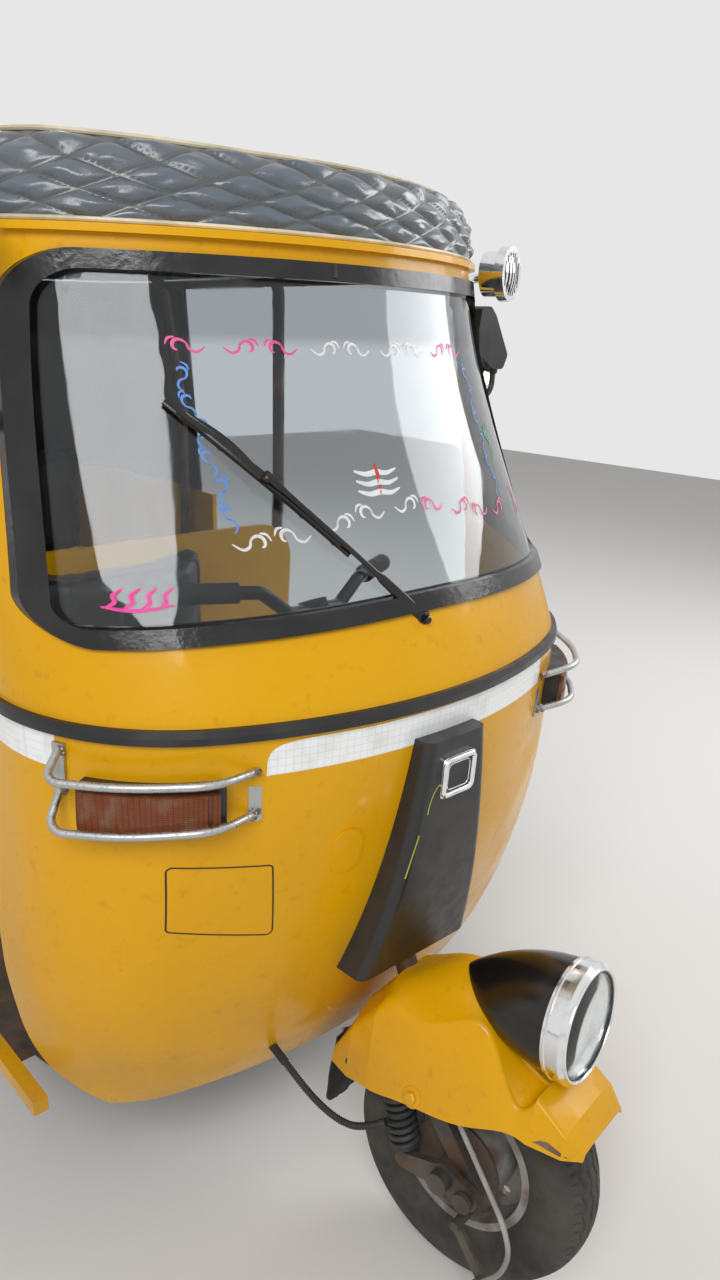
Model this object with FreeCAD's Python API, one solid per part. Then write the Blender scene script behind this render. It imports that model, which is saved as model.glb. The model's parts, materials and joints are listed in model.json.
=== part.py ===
import FreeCAD, Part
import math
import os

V = FreeCAD.Vector

# Auto rickshaw with one steered front wheel, a pressed-steel cab and a soft roof.
# Lengths are millimetres and angles degrees. The vehicle faces -Y, its left is +X, Z is up and
# the ground is z = 0. Places along the vehicle are given as u, the distance behind the front axle.
front_axle_y = -1110.0
wheelbase = 2000.0
rear_track = 1150.0
fit_gap = 0.3
running_gap = 5.0

# Wheels, 4.00-8 tyres
tyre_radius = 203.0
tyre_half_width = 52.0
tyre_carcass = 10.0
bead_radius = 112.0
rim_lip_radius = 119.0
rim_half_width = 38.0
rim_lip = 3.5
rim_sheet = 8.0
vent_count = 8
vent_radius = 8.0
vent_circle = 82.0
drum_radius = 70.0
drum_half_width = 48.0
front_axle_radius = 10.0
rear_axle_radius = 14.0
bore_gap = 0.08

# Steering axis and the angle at which the handlebar stands
rake_angle = 25.0
steering_ground_u = -46.0
steer_angle = 10.0
stem_radius = 18.0

# Cab skin, from the bottom edge to the roof gutter
cab_wall = 16.0
cab_rear_u = 517.0
pillar_rear_u = 558.0
plan_back_u = 900.0
belt_z = 930.0
cab_bottom_z = 258.0
gutter_z = 1533.0

# height, half width, nose (u of the foremost point), front radius, corner radius
apron_sections = [
    (258.0, 493.0, 293.0, 1110.0, 236.0),
    (430.0, 505.0, 211.0, 1000.0, 216.0),
    (560.0, 513.0, 168.0, 923.0, 212.0),
    (700.0, 512.0, 136.0, 857.0, 235.0),
    (930.0, 506.0, 111.0, 764.0, 300.0),
]
screen_sections = [
    (930.0, 506.0, 111.0, 764.0, 300.0),
    (1050.0, 502.0, 159.0, 710.0, 293.0),
    (1300.0, 489.0, 268.0, 625.0, 290.0),
    (1533.0, 479.0, 330.0, 596.0, 312.0),
]

# Windscreen, measured square to the vehicle's front
screen_bottom_z = 1030.0
screen_bottom_rise = 20.0
screen_top_z = 1504.0
screen_low_half = 490.0
screen_high_half = 447.0
screen_low_corner = 48.0
screen_high_corner = 78.0
seal_width = 24.0
seal_proud = 8.0
seal_depth = 12.0
glass_inset = 3.0
glass_thickness = 5.0

# Belt strip and the gutter over the windscreen
belt_height = 19.0
belt_proud = 7.0
gutter_height = 10.0
gutter_proud = 11.0

# Oval pressing beside the column cowl
boss_x = -157.0
boss_z = 721.0
boss_half_width = 24.0
boss_half_height = 36.0
boss_rise = 3.0

# Column cowl: height, half width, u of its front face
cowl_rows = [
    (477.0, 117.0, 146.0),
    (610.0, 95.0, 112.0),
    (750.0, 76.0, 93.0),
    (877.0, 60.0, 86.0),
]
cowl_wall = 4.0
cowl_corner = 16.0
badge_half_width = 34.0
badge_low_z = 785.0
badge_high_z = 849.0
badge_thickness = 4.0

# Front indicators
indicator_in_x = 331.0
indicator_out_x = 467.0
indicator_low_z = 806.0
indicator_high_z = 912.0
indicator_depth = 24.0
indicator_corner = 12.0
visor_low_z = 868.0
visor_standoff = 30.0
visor_top_standoff = 10.0
lens_border = 8.0
lens_low_z = 811.0
lens_top_z = 864.0
lens_rise = 8.0
guard_tube = 5.5
# x, z and distance off the skin of each guard bar's points, from its outer to its inner end
guard_upper = [(480.0, 902.0, 6.0), (478.0, 877.0, 46.0), (426.0, 881.0, 46.0),
               (346.0, 886.0, 53.0), (293.0, 877.0, 5.0)]
guard_lower = [(482.0, 845.0, 6.0), (480.0, 809.0, 46.0), (428.0, 814.0, 46.0),
               (346.0, 821.0, 53.0), (293.0, 814.0, 5.0)]
guard_plate_width = 18.0
guard_plate_thickness = 4.0
# x, low and high z of the plates that the bars are welded to
guard_plates = [(482.0, 838.0, 910.0), (294.0, 804.0, 886.0)]

# Floor and chassis
floor_z = 300.0
floor_thickness = 5.0
floor_inset = 150.0
rail_x = 230.0
rail_width = 46.0
rail_height = 56.0
rail_front_u = 348.0
rail_rear_u = wheelbase - 270.0
cross_height = 40.0
cross_width = 36.0
engine_rail_u = wheelbase + 260.0
engine_rear_u = wheelbase + 190.0
silencer_u = wheelbase + 280.0
head_tube_radius = 27.0
head_tube_low_z = 560.0
head_tube_high_z = 700.0
head_brace_z = 640.0
sill_height = 24.0
sill_width = 24.0
sill_taper = 470.0

# Rear body
tub_front_u = wheelbase - 350.0
tub_rear_u = wheelbase + 372.0
tub_half_width = rear_track / 2 + 75.0
floor_half_width = tub_half_width - floor_inset
tub_bottom_z = 300.0
tub_top_z = 940.0
tub_corner = 110.0
tub_wall = 14.0
arch_radius = 252.0
arch_lip = 12.0
arch_flare = 6.0
well_inner_x = tub_half_width - 180.0
deck_z = 540.0
deck_thickness = 14.0
lid_half_width = 300.0
lid_low_z = 335.0
lid_high_z = 655.0
lid_gap = 5.0
louvre_count = 6
louvre_half_length = 120.0
louvre_height = 9.0
louvre_pitch = 24.0
plate_hole_radius = 3.3
plate_hole_pitch = 210.0

# Seats and partition
partition_u = wheelbase - 880.0
partition_half_width = tub_half_width - 138.0
partition_top_z = 960.0
partition_thickness = 14.0
driver_box_depth = 250.0
driver_box_half_width = 240.0
driver_seat_z = 620.0
driver_cushion_height = 85.0
driver_back_depth = 70.0
driver_back_high_z = 1010.0
cushion_radius = 28.0
bench_half_width = tub_half_width - 75.0
bench_depth = 450.0
bench_height = 95.0
back_height = 400.0
back_half_width = tub_half_width - 122.0
back_board_u = tub_rear_u - 42.0
back_board_top = 1030.0
back_depth = 110.0

# Roof
roof_rear_u = tub_rear_u - 72.0
roof_rear_half = tub_half_width - 50.0
roof_rear_corner = 330.0
roof_wall = 14.0
# height above the gutter, inset from the gutter's plan
roof_rows = [
    (0.0, 0.0),
    (45.0, 6.0),
    (68.0, 16.0),
    (86.0, 30.0),
    (97.0, 48.0),
    (104.0, 90.0),
    (113.0, 175.0),
    (122.0, 290.0),
]
rear_bow_foot = tub_half_width - 52.0
hood_front_u = tub_front_u + 80.0
hood_wall = 12.0
rear_window_half_width = 330.0
rear_window_low_z = 1160.0
rear_window_high_z = 1420.0
rear_window_corner = 60.0
bow_radius = 14.0
front_bow_u = partition_u + 28.3
rear_bow_u = hood_front_u + 15.0
roof_rail_z = 1517.0
bow_crown_z = 1602.0

# Front fender: f (ahead of the axle), half width and height of its lower edge, half width and
# height of its shoulder, half width and height of its crown, rounding of shoulder and crown
fender_rows = [
    (-243.0, 72.0, 262.0, 66.0, 288.0, 30.0, 300.0, 9.0, 20.0),
    (-200.0, 88.0, 265.0, 84.0, 356.0, 38.0, 390.0, 20.0, 40.0),
    (-152.0, 104.0, 283.0, 92.0, 416.0, 40.0, 454.0, 30.0, 50.0),
    (-95.0, 112.0, 299.0, 90.0, 430.0, 38.0, 490.0, 28.0, 60.0),
    (-50.0, 113.0, 309.0, 86.0, 440.0, 38.0, 507.0, 18.0, 60.0),
    (0.0, 113.0, 318.0, 76.0, 468.0, 36.0, 494.0, 12.0, 60.0),
    (50.0, 108.0, 333.0, 74.0, 441.0, 34.0, 449.0, 11.0, 60.0),
    (120.0, 94.0, 341.0, 74.0, 404.0, 34.0, 404.5, 10.0, 60.0),
    (170.0, 82.0, 338.0, 76.0, 371.0, 34.0, 377.0, 8.0, 40.0),
    (195.0, 66.0, 340.0, 61.0, 350.0, 34.0, 353.0, 4.0, 20.0),
]
# rows at which the pressing is creased from side to side
fender_creases = [2, 7]
fender_wall = 3.0
flap_thickness = 4.0
flap_low_z = 150.0

# Headlamp
lamp_f = 150.0
lamp_z = 500.0
lamp_pitch = 4.0
lamp_length = 205.0
lamp_radius = 84.0
ring_radius = 89.0
ring_length = 34.0
lens_radius = 76.0
lens_dome = 9.0

# Front suspension, on the vehicle's right of the wheel
leg_x = -67.0
leg_thickness = 18.0
leg_width = 34.0
link_x = -88.0
link_thickness = 12.0
link_pivot_f = 42.0
link_pivot_z = 193.0
link_tail_f = -74.0
link_tail_z = 188.0
link_height = 46.0
yoke_z = 399.0
yoke_height = 20.0
shock_x = -78.0
shock_top_f = -116.0
shock_top_z = 318.0
coil_radius = 20.0
coil_wire = 4.5
coil_turns = 9
axle_end_x = -112.0
brake_plate_x = -55.0

# Handlebar
bar_z = 985.0
bar_radius = 11.0
bar_half = 265.0
bar_rise = 40.0
bar_sweep = 70.0
grip_radius = 16.0
grip_length = 120.0

# Mirrors and roof horns
mirror_x = 536.0
mirror_u = 530.0
mirror_z = 1412.0
# the housing's corners, from its centre
mirror_outline = [(-44.0, 18.0), (-39.0, -30.0), (4.0, -57.0), (34.0, -57.0), (46.0, -30.0),
                  (4.0, 42.0), (-12.0, 58.0), (-38.0, 58.0)]
mirror_corner = 11.0
mirror_depth = 26.0
mirror_stem_z = 1306.0
horn_x = 512.0
horn_u = 488.0
horn_z = 1526.0
horn_radius = 48.0
horn_depth = 42.0
horn_slots = 7
horn_root_x = 432.0
horn_root_u = 541.0
mirror_root_x = 468.0
mirror_root_u = 538.0
mirror_root_z = 1290.0

# Wiper: x and z of its points
wiper_pivot = (-17.0, 1036.0)
wiper_joint = (-205.0, 1219.0)
blade_low = (-118.0, 1128.0)
blade_high = (-305.0, 1321.0)
wiper_gap = 3.0
arm_radius = 4.0
blade_width = 8.0
blade_depth = 9.0


def at(x, u, z):
    return V(x, front_axle_y + u, z)


def box(x0, x1, u0, u1, z0, z1):
    return Part.makeBox(x1 - x0, u1 - u0, z1 - z0, at(x0, u0, z0))


def rod(start, end, radius):
    return Part.makeCylinder(radius, (end - start).Length, start, end - start)


def fuse(shapes):
    joined = shapes[0].fuse(shapes[1:]) if len(shapes) > 1 else shapes[0]
    return joined.removeSplitter()


def mirrored(shape):
    return shape.mirror(V(0, 0, 0), V(1, 0, 0))


def pair(shape):
    return Part.Compound([shape, mirrored(shape)])


def polygon(points):
    return Part.makePolygon(points + [points[0]])


def prism(points, travel):
    return Part.Face(polygon(points)).extrude(travel)


def rounded_outline(points, radii):
    # closed outline of straight runs, with a tangent arc of the given radius at each point
    count = len(points)
    ends = []
    for i in range(count):
        to_last = (points[i - 1] - points[i]).normalize()
        to_next = (points[(i + 1) % count] - points[i]).normalize()
        half = to_last.getAngle(to_next) / 2
        trim = radii[i] / math.tan(half)
        towards = (to_last + to_next).normalize()
        middle = points[i] + towards * (radii[i] / math.sin(half) - radii[i])
        ends.append((points[i] + to_last * trim, middle, points[i] + to_next * trim))
    edges = []
    for i in range(count):
        edges.append(Part.Arc(*ends[i]).toShape())
        edges.append(Part.LineSegment(ends[i][2], ends[(i + 1) % count][0]).toShape())
    return Part.Wire(edges)


def route(points, bend=None):
    # straight runs joined by tangent arcs; with no bend, each arc is as large as its runs allow
    edges = []
    start = points[0]
    for before, corner, after in zip(points, points[1:], points[2:]):
        back = (before - corner).normalize()
        ahead = (after - corner).normalize()
        half_turn = (math.pi - back.getAngle(ahead)) / 2
        shorter = min((before - corner).Length, (after - corner).Length)
        trim = bend * math.tan(half_turn) if bend else 0.45 * shorter
        radius = trim / math.tan(half_turn)
        towards = (back + ahead).normalize()
        middle = corner + towards * (radius / math.cos(half_turn) - radius)
        edges.append(Part.LineSegment(start, corner + back * trim).toShape())
        start = corner + ahead * trim
        edges.append(Part.Arc(corner + back * trim, middle, start).toShape())
    edges.append(Part.LineSegment(start, points[-1]).toShape())
    return Part.Wire(edges)


def tube(points, radius, bend=None):
    ring = Part.Wire(Part.makeCircle(radius, points[0], points[1] - points[0]))
    if len(points) == 2:
        return rod(points[0], points[1], radius)
    pipe = Part.BRepOffsetAPI.MakePipeShell(route(points, bend))
    pipe.add(ring)
    pipe.build()
    pipe.makeSolid()
    solid = pipe.shape()
    if solid.Volume < 0:
        solid.reverse()
    return solid


def plan_wire(section, inset):
    # a front arc that runs into two corner arcs, straight sides and a straight back
    back_u = plan_back_u
    z, half_width, nose, front_radius, corner_radius = section
    centre_u = nose + front_radius
    corner_x = half_width - corner_radius
    corner_u = centre_u - math.sqrt((front_radius - corner_radius) ** 2 - corner_x**2)
    turn = math.asin(corner_x / (front_radius - corner_radius))
    small = corner_radius - inset

    def corner(side, angle):
        x = corner_x + small * math.sin(angle)
        return at(side * x, corner_u - small * math.cos(angle), z)

    quarter = math.pi / 2
    between = (turn + quarter) / 2
    left_back = at(-half_width + inset, back_u, z)
    right_back = at(half_width - inset, back_u, z)
    edges = [
        Part.LineSegment(left_back, corner(-1, quarter)),
        Part.Arc(corner(-1, quarter), corner(-1, between), corner(-1, turn)),
        Part.Arc(corner(-1, turn), at(0, nose + inset, z), corner(1, turn)),
        Part.Arc(corner(1, turn), corner(1, between), corner(1, quarter)),
        Part.LineSegment(corner(1, quarter), right_back),
        Part.LineSegment(right_back, left_back),
    ]
    return Part.Wire([edge.toShape() for edge in edges])


def cab_block(sections, inset, back_u):
    block = Part.makeLoft([plan_wire(s, inset) for s in sections], True, False)
    return block.common(box(-900, 900, -200, back_u, 0, 2000))


def cab_layer(sections, outer_inset, inner_inset, back_u=cab_rear_u):
    outer = cab_block(sections, outer_inset, back_u)
    return outer.cut(cab_block(sections, inner_inset, back_u + 40))


def section_at(z):
    rows = apron_sections + screen_sections[1:]
    for low, high in zip(rows, rows[1:]):
        if low[0] <= z <= high[0]:
            share = (z - low[0]) / (high[0] - low[0])
            return [a + (b - a) * share for a, b in zip(low, high)]
    raise ValueError("height outside the cab")


def skin_u(x, z):
    # u of the cab's outer skin at a place seen from the front
    _, half_width, nose, front_radius, corner_radius = section_at(z)
    corner_x = half_width - corner_radius
    centre_u = nose + front_radius
    reach = math.sqrt((front_radius - corner_radius) ** 2 - corner_x**2)
    if abs(x) <= front_radius * corner_x / (front_radius - corner_radius):
        return centre_u - math.sqrt(front_radius**2 - x**2)
    side = min(abs(x) - corner_x, corner_radius)
    return centre_u - reach - math.sqrt(corner_radius**2 - side**2)


def skin_point(x, z, standoff):
    # the point that stands off the skin along its normal in plan
    step = 0.5
    slope = (skin_u(x + step, z) - skin_u(x - step, z)) / (2 * step)
    length = math.hypot(slope, 1)
    return at(x + standoff * slope / length, skin_u(x, z) - standoff / length, z)


def steering_u(z):
    return steering_ground_u + z * math.tan(math.radians(rake_angle))


def steering_point(z):
    return at(0, steering_u(z), z)


def steered(shape):
    turned = shape.copy()
    turned.rotate(steering_point(0), steering_point(100) - steering_point(0), steer_angle)
    return turned


def front_axle_height():
    # the turned wheel leans, so its axle stands where the tyre's lowest point is on the ground
    height = tyre_radius
    for _ in range(4):
        centre = steered(Part.Vertex(at(0, 0, height))).Point
        beside = steered(Part.Vertex(at(1, 0, height))).Point
        lean = beside.z - centre.z
        hoop = tyre_radius - tyre_half_width
        lowest = centre.z - hoop * math.sqrt(1 - lean**2) - tyre_half_width
        height -= lowest
    return height


axle_z = front_axle_height()
axle_lift = axle_z - tyre_radius


def ahead(x, f, z):
    # a place in the front assembly before it is turned: f is the distance ahead of the axle
    return at(x, -f, z + axle_lift)


# Cab


def screen_outline(inset, u):
    low = screen_bottom_z + inset
    slope = (screen_low_half - screen_high_half) / (screen_top_z - screen_bottom_z)
    low_half = screen_low_half + 4 - inset
    high_half = screen_high_half - 10 - inset
    top = screen_top_z - inset
    corners = [
        at(-low_half + slope, u, low),
        at(0, u, low + screen_bottom_rise),
        at(low_half - slope, u, low),
        at(high_half, u, top),
        at(-high_half, u, top),
    ]
    radii = [screen_low_corner - inset, 2500.0, screen_low_corner - inset]
    radii += [screen_high_corner - inset, screen_high_corner - inset]
    return rounded_outline(corners, radii)


def screen_prism(inset):
    return Part.Face(screen_outline(inset, 60)).extrude(V(0, pillar_rear_u, 0))


def apron_trim():
    # what is cut away behind the door's front edge
    high = at(-700, cab_rear_u, belt_z + 10)
    straight = at(-700, cab_rear_u, 600)
    bow = at(-700, 491, 400)
    low = at(-700, 417, 300)
    foot = at(-700, 385, cab_bottom_z - 10)
    behind = at(-700, cab_rear_u + 60, cab_bottom_z - 10)
    top = at(-700, cab_rear_u + 60, belt_z + 10)
    edges = [
        Part.LineSegment(high, straight),
        Part.Arc(straight, bow, low),
        Part.LineSegment(low, foot),
        Part.LineSegment(foot, behind),
        Part.LineSegment(behind, top),
        Part.LineSegment(top, high),
    ]
    outline = Part.Wire([edge.toShape() for edge in edges])
    return Part.Face(outline).extrude(V(1400, 0, 0))


def make_apron():
    skin = cab_layer(apron_sections, 0, cab_wall)
    boss = boss_prism().common(cab_layer(apron_sections, -boss_rise, cab_wall / 2))
    skin = skin.fuse(boss).removeSplitter()
    column = rod(steering_point(400), steering_point(760), head_tube_radius + running_gap)
    return skin.cut([apron_trim(), column, brake_hose(hose_radius + 1)])


def boss_prism():
    half_run = boss_half_height - boss_half_width
    low = at(boss_x, 0, boss_z - half_run)
    high = at(boss_x, 0, boss_z + half_run)
    left = V(-boss_half_width, 0, 0)
    right = V(boss_half_width, 0, 0)
    down = V(0, 0, -boss_half_width)
    edges = [
        Part.LineSegment(low + left, high + left),
        Part.Arc(high + left, high - down, high + right),
        Part.LineSegment(high + right, low + right),
        Part.Arc(low + right, low + down, low + left),
    ]
    outline = Part.Wire([edge.toShape() for edge in edges])
    return Part.Face(outline).extrude(V(0, 300, 0))


def pillar_trim():
    # what is cut away behind the slanted rear edge of the windscreen pillars
    low = at(-700, cab_rear_u, belt_z)
    high = at(-700, pillar_rear_u, gutter_z)
    behind = V(0, 200, 0)
    drop = V(0, 0, 20)
    return prism([low - drop, high + drop, high + drop + behind, low - drop + behind], V(1400, 0, 0))


def make_windscreen_surround():
    skin = cab_layer(screen_sections, 0, cab_wall, pillar_rear_u + 10)
    root = skin_point(wiper_pivot[0], wiper_pivot[1], -2 * cab_wall)
    head = skin_point(wiper_pivot[0], wiper_pivot[1], cab_wall)
    return skin.cut([screen_prism(0), pillar_trim(), rod(root, head, 8.0 + bore_gap)])


def make_windscreen_seal():
    layer = cab_layer(screen_sections, -seal_proud, seal_depth, pillar_rear_u)
    return layer.common(screen_prism(fit_gap)).cut(screen_prism(seal_width))


def make_windscreen_glass():
    layer = cab_layer(screen_sections, glass_inset, glass_inset + glass_thickness, pillar_rear_u)
    return layer.common(screen_prism(seal_width + fit_gap))


def make_belt_strip():
    low = belt_z - belt_height / 2
    slab = box(-700, 700, -100, cab_rear_u, low, low + belt_height)
    strips = []
    for sections in (apron_sections, screen_sections):
        strips.append(cab_layer(sections, -belt_proud, -fit_gap).common(slab))
    return fuse(strips)


def make_roof_visor():
    low = gutter_z - gutter_height
    slab = box(-700, 700, -100, cab_rear_u, low, gutter_z)
    return cab_layer(screen_sections, -gutter_proud, -fit_gap, pillar_rear_u).common(slab)


def cowl_block(inset, drop):
    wires = []
    for z, half_width, front_u in cowl_rows:
        points = [
            at(-half_width + inset, front_u + inset, z),
            at(half_width - inset, front_u + inset, z),
            at(half_width - inset + 6, front_u + 190, z),
            at(-half_width + inset - 6, front_u + 190, z),
        ]
        corner = cowl_corner - inset
        wires.append(rounded_outline(points, [corner, corner, 4.0, 4.0]))
    block = Part.makeLoft(wires, True, False)
    block.translate(V(0, 0, -drop))
    return block


def make_column_cowl():
    behind = cab_block(apron_sections, -fit_gap, cab_rear_u)
    return cowl_block(0, 0).cut([cowl_block(cowl_wall, cowl_wall), behind])


def cowl_front_u(z):
    for low, high in zip(cowl_rows, cowl_rows[1:]):
        if low[0] <= z <= high[0]:
            share = (z - low[0]) / (high[0] - low[0])
            return low[2] + (high[2] - low[2]) * share
    raise ValueError("height outside the cowl")


def make_cowl_badge():
    face = [at(-badge_half_width, 0, badge_low_z), at(badge_half_width, 0, badge_low_z)]
    face += [at(badge_half_width, 0, badge_high_z), at(-badge_half_width, 0, badge_high_z)]
    outline = Part.Face(rounded_outline(face, [7.0] * 4)).extrude(V(0, 300, 0))
    proud = cowl_block(-badge_thickness, 0).cut(cowl_block(-0.1, 0))
    front = box(-80, 80, 60, cowl_front_u(badge_low_z) + 2, badge_low_z, badge_high_z)
    return outline.common(proud).common(front)


def indicator_block(in_x, out_x, low, high):
    # a block whose ends stand square to the skin
    points = [skin_point(-in_x, low, -20), skin_point(-in_x, low, 70),
              skin_point(-out_x, low, 70), skin_point(-out_x, low, -20)]
    return prism(points, V(0, 0, high - low))


def indicator_outline():
    corners = [at(-indicator_out_x - 20, 0, indicator_low_z), at(-indicator_in_x + 20, 0, indicator_low_z),
               at(-indicator_in_x + 20, 0, indicator_high_z), at(-indicator_out_x - 20, 0, indicator_high_z)]
    radii = [5.0, 5.0, 3 * indicator_corner, 3 * indicator_corner]
    return Part.Face(rounded_outline(corners, radii)).extrude(V(0, 500, 0))


def make_indicator_housings():
    place = (indicator_in_x, indicator_out_x, indicator_low_z, indicator_high_z)
    block = indicator_block(*place).common(indicator_outline())
    layer = cab_layer(apron_sections, -indicator_depth, -fit_gap)
    body = layer.common(block).common(box(-700, 700, 0, 500, 0, visor_low_z + 1))
    rows = ((visor_low_z, visor_standoff), (indicator_high_z, visor_top_standoff))
    hood = Part.makeLoft([plan_wire([z] + list(section_at(z)[1:]), -off) for z, off in rows], True, False)
    hood = hood.common(block).cut(cab_block(apron_sections, -fit_gap, cab_rear_u))
    return pair(fuse([body, hood]))


def make_indicator_lenses():
    outer = -indicator_depth - lens_rise
    layer = cab_layer(apron_sections, outer, -indicator_depth - fit_gap)
    in_x = indicator_in_x + lens_border
    return pair(layer.common(indicator_block(in_x, indicator_out_x - 3, lens_low_z, lens_top_z)))


def make_indicator_guards():
    pieces = []
    for points in (guard_upper, guard_lower):
        pieces.append(tube([skin_point(-x, z, off) for x, z, off in points], guard_tube))
    for x, low, high in guard_plates:
        middle = (low + high) / 2
        foot = skin_point(-x, middle, 0)
        out = (skin_point(-x, middle, 10) - foot).normalize()
        beside = V(0, 0, 1).cross(out)
        corner = foot - beside * guard_plate_width / 2 - V(0, 0, middle - low) - out * 8
        pieces.append(prism_from(corner, beside * guard_plate_width, V(0, 0, high - low),
                                 out * (8 + guard_plate_thickness)))
    behind = cab_block(apron_sections, -fit_gap, cab_rear_u)
    return pair(fuse(pieces).cut(behind))


def prism_from(corner, along, up, depth):
    points = [corner, corner + along, corner + along + up, corner + up]
    return prism(points, depth)


def make_wiper():
    proud = glass_inset - wiper_gap - blade_depth
    low = skin_point(blade_low[0], blade_low[1], -proud)
    high = skin_point(blade_high[0], blade_high[1], -proud)
    joint = skin_point(wiper_joint[0], wiper_joint[1], blade_depth + 10)
    pivot = skin_point(wiper_pivot[0], wiper_pivot[1], seal_proud + 22)
    root = skin_point(wiper_pivot[0], wiper_pivot[1], -cab_wall)
    middle_x = (blade_low[0] + blade_high[0]) / 2
    middle_z = (blade_low[1] + blade_high[1]) / 2
    middle = skin_point(middle_x, middle_z, -proud)
    blade = tube([low, middle, high], blade_width / 2, 220.0)
    arm = rod(pivot, joint, arm_radius)
    spindle = rod(root, pivot, 8.0)
    boss = rod(pivot + (root - pivot).normalize() * 12, pivot + (pivot - root).normalize() * 6, 13.0)
    clip = rod(joint, middle, 3.5)
    return fuse([blade, arm, boss, clip]).fuse(spindle).removeSplitter()


# Roof-side fittings


def make_roof_horns():
    facing = V(0.35, -1, 0).normalize()
    centre = at(horn_x, horn_u, horn_z)
    body = rod(centre, centre - facing * horn_depth, horn_radius - 8)
    rim = rod(centre + facing * 8, centre - facing * 10, horn_radius)
    dish = Part.makeSphere(90, centre - facing * 76)
    grille = rim.fuse([body, dish.common(rod(centre, centre + facing * 20, horn_radius - 3))])
    beside = V(0, 0, 1).cross(facing)
    pitch = 2 * (horn_radius - 10) / horn_slots
    for i in range(horn_slots):
        offset = (i - (horn_slots - 1) / 2) * pitch
        half = math.sqrt((horn_radius - 8) ** 2 - offset**2) - 2
        corner = centre + beside * (offset - pitch / 4) - V(0, 0, half) + facing * 2
        grille = grille.cut(prism_from(corner, beside * pitch / 2, V(0, 0, 2 * half), facing * 20))
    arm = rod(centre - facing * (horn_depth - 12), at(horn_root_x, horn_root_u, horn_z - 20), 8.0)
    behind = cab_block(screen_sections, -fit_gap, pillar_rear_u)
    return pair(fuse([grille, arm]).cut(behind))


def make_mirrors():
    centre = at(mirror_x, mirror_u, mirror_z)
    corners = [centre + V(x, 0, z) for x, z in mirror_outline]
    head = Part.Face(rounded_outline(corners, [mirror_corner] * len(corners)))
    head = head.extrude(V(0, mirror_depth, 0))
    knuckle = at(mirror_x + 20, mirror_u + mirror_depth / 2, mirror_z - 52)
    elbow = at(mirror_x + 18, mirror_u + mirror_depth / 2, mirror_stem_z)
    root = at(mirror_root_x, mirror_root_u, mirror_root_z)
    stem = tube([knuckle, elbow, root], 5.5)
    ball = Part.makeSphere(9.0, knuckle - V(0, 0, 8))
    foot = rod(root, root + (elbow - root).normalize() * 26, 13.0)
    behind = cab_block(screen_sections, -fit_gap, pillar_rear_u)
    return pair(fuse([head, stem, ball, foot]).cut(behind))


# Floor and chassis


def make_floor_pan():
    section = [floor_z] + list(section_at(floor_z)[1:])
    front = Part.Face(plan_wire(section, cab_wall + fit_gap)).extrude(V(0, 0, floor_thickness))
    front = front.common(box(-900, 900, 0, cab_rear_u, 0, 2000))
    rear = box(-floor_half_width, floor_half_width, cab_rear_u - 1, tub_front_u - fit_gap,
               floor_z, floor_z + floor_thickness)
    front = front.cut(cab_layer(apron_sections, -20, cab_wall + fit_gap))
    front = front.cut(rod(steering_point(200), steering_point(500), stem_radius + running_gap))
    return fuse([front, rear])


def make_chassis():
    top = floor_z - fit_gap
    low = top - rail_height
    rail = box(rail_x - rail_width / 2, rail_x + rail_width / 2, rail_front_u, rail_rear_u, low, top)
    pieces = [rail, mirrored(rail)]
    for u in (rail_front_u, 760.0, 1120.0, tub_front_u - 150):
        pieces.append(box(-rail_x, rail_x, u, u + cross_width, top - cross_height, top))
    pieces.append(box(-rail_x, rail_x, rail_rear_u - 60, rail_rear_u, low, top))
    pieces.append(rod(at(-arm_pivot_x - 30, arm_pivot_u, arm_pivot_z),
                      at(arm_pivot_x + 30, arm_pivot_u, arm_pivot_z), 17.0))
    for side in (-1, 1):
        pieces.append(box(side * 230 - 20, side * 230 + 20, rail_rear_u - 20, engine_rail_u, low, low + 44))
    pieces.append(box(-250, 250, engine_rail_u - 44, engine_rail_u, low, low + 44))
    return fuse(pieces)


def make_steering_head():
    head = rod(steering_point(head_tube_low_z), steering_point(head_tube_high_z), head_tube_radius)
    bore = rod(steering_point(head_tube_low_z - 50), steering_point(head_tube_high_z + 50),
               stem_radius + bore_gap)
    low = at(0, 420, floor_z + floor_thickness + fit_gap)
    top = at(0, steering_u(head_brace_z) + 16, head_brace_z + 10)
    brace = tube([low, at(0, 420, 420), top], 24.0, 120.0)
    foot = box(-60, 60, 360, 480, low.z, low.z + 8)
    cross = []
    for side in (-1, 1):
        end = at(side * 470, skin_u(470, head_brace_z) + 30, head_brace_z)
        cross.append(rod(at(0, steering_u(head_brace_z) + 14, head_brace_z), end, 13.0))
    frame = fuse([head, brace, foot] + cross)
    return frame.cut([bore, cab_layer(apron_sections, -20, cab_wall + fit_gap)])


def make_side_sills():
    top = floor_z + floor_thickness
    low = top - sill_height
    inner = floor_half_width + fit_gap
    outer = floor_half_width + sill_width
    points = [
        at(inner, cab_rear_u - 100, low),
        at(inner, tub_front_u - fit_gap, low),
        at(tub_half_width, tub_front_u - fit_gap, low),
        at(outer, tub_front_u - sill_taper, low),
        at(outer, cab_rear_u - 100, low),
    ]
    sill = prism(points, V(0, 0, sill_height))
    return pair(sill.cut(cab_block(apron_sections, -fit_gap, cab_rear_u + 1)))


# Rear body

arm_pivot_x = 330.0
arm_pivot_u = wheelbase - 300.0
arm_pivot_z = 262.0


def tub_wire(inset, z, front_u):
    side = tub_half_width - inset
    rear = tub_rear_u - inset
    points = [at(-side, front_u, z), at(-side, rear, z), at(side, rear, z), at(side, front_u, z)]
    return rounded_outline(points, [1.0, tub_corner - inset, tub_corner - inset, 1.0])


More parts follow.
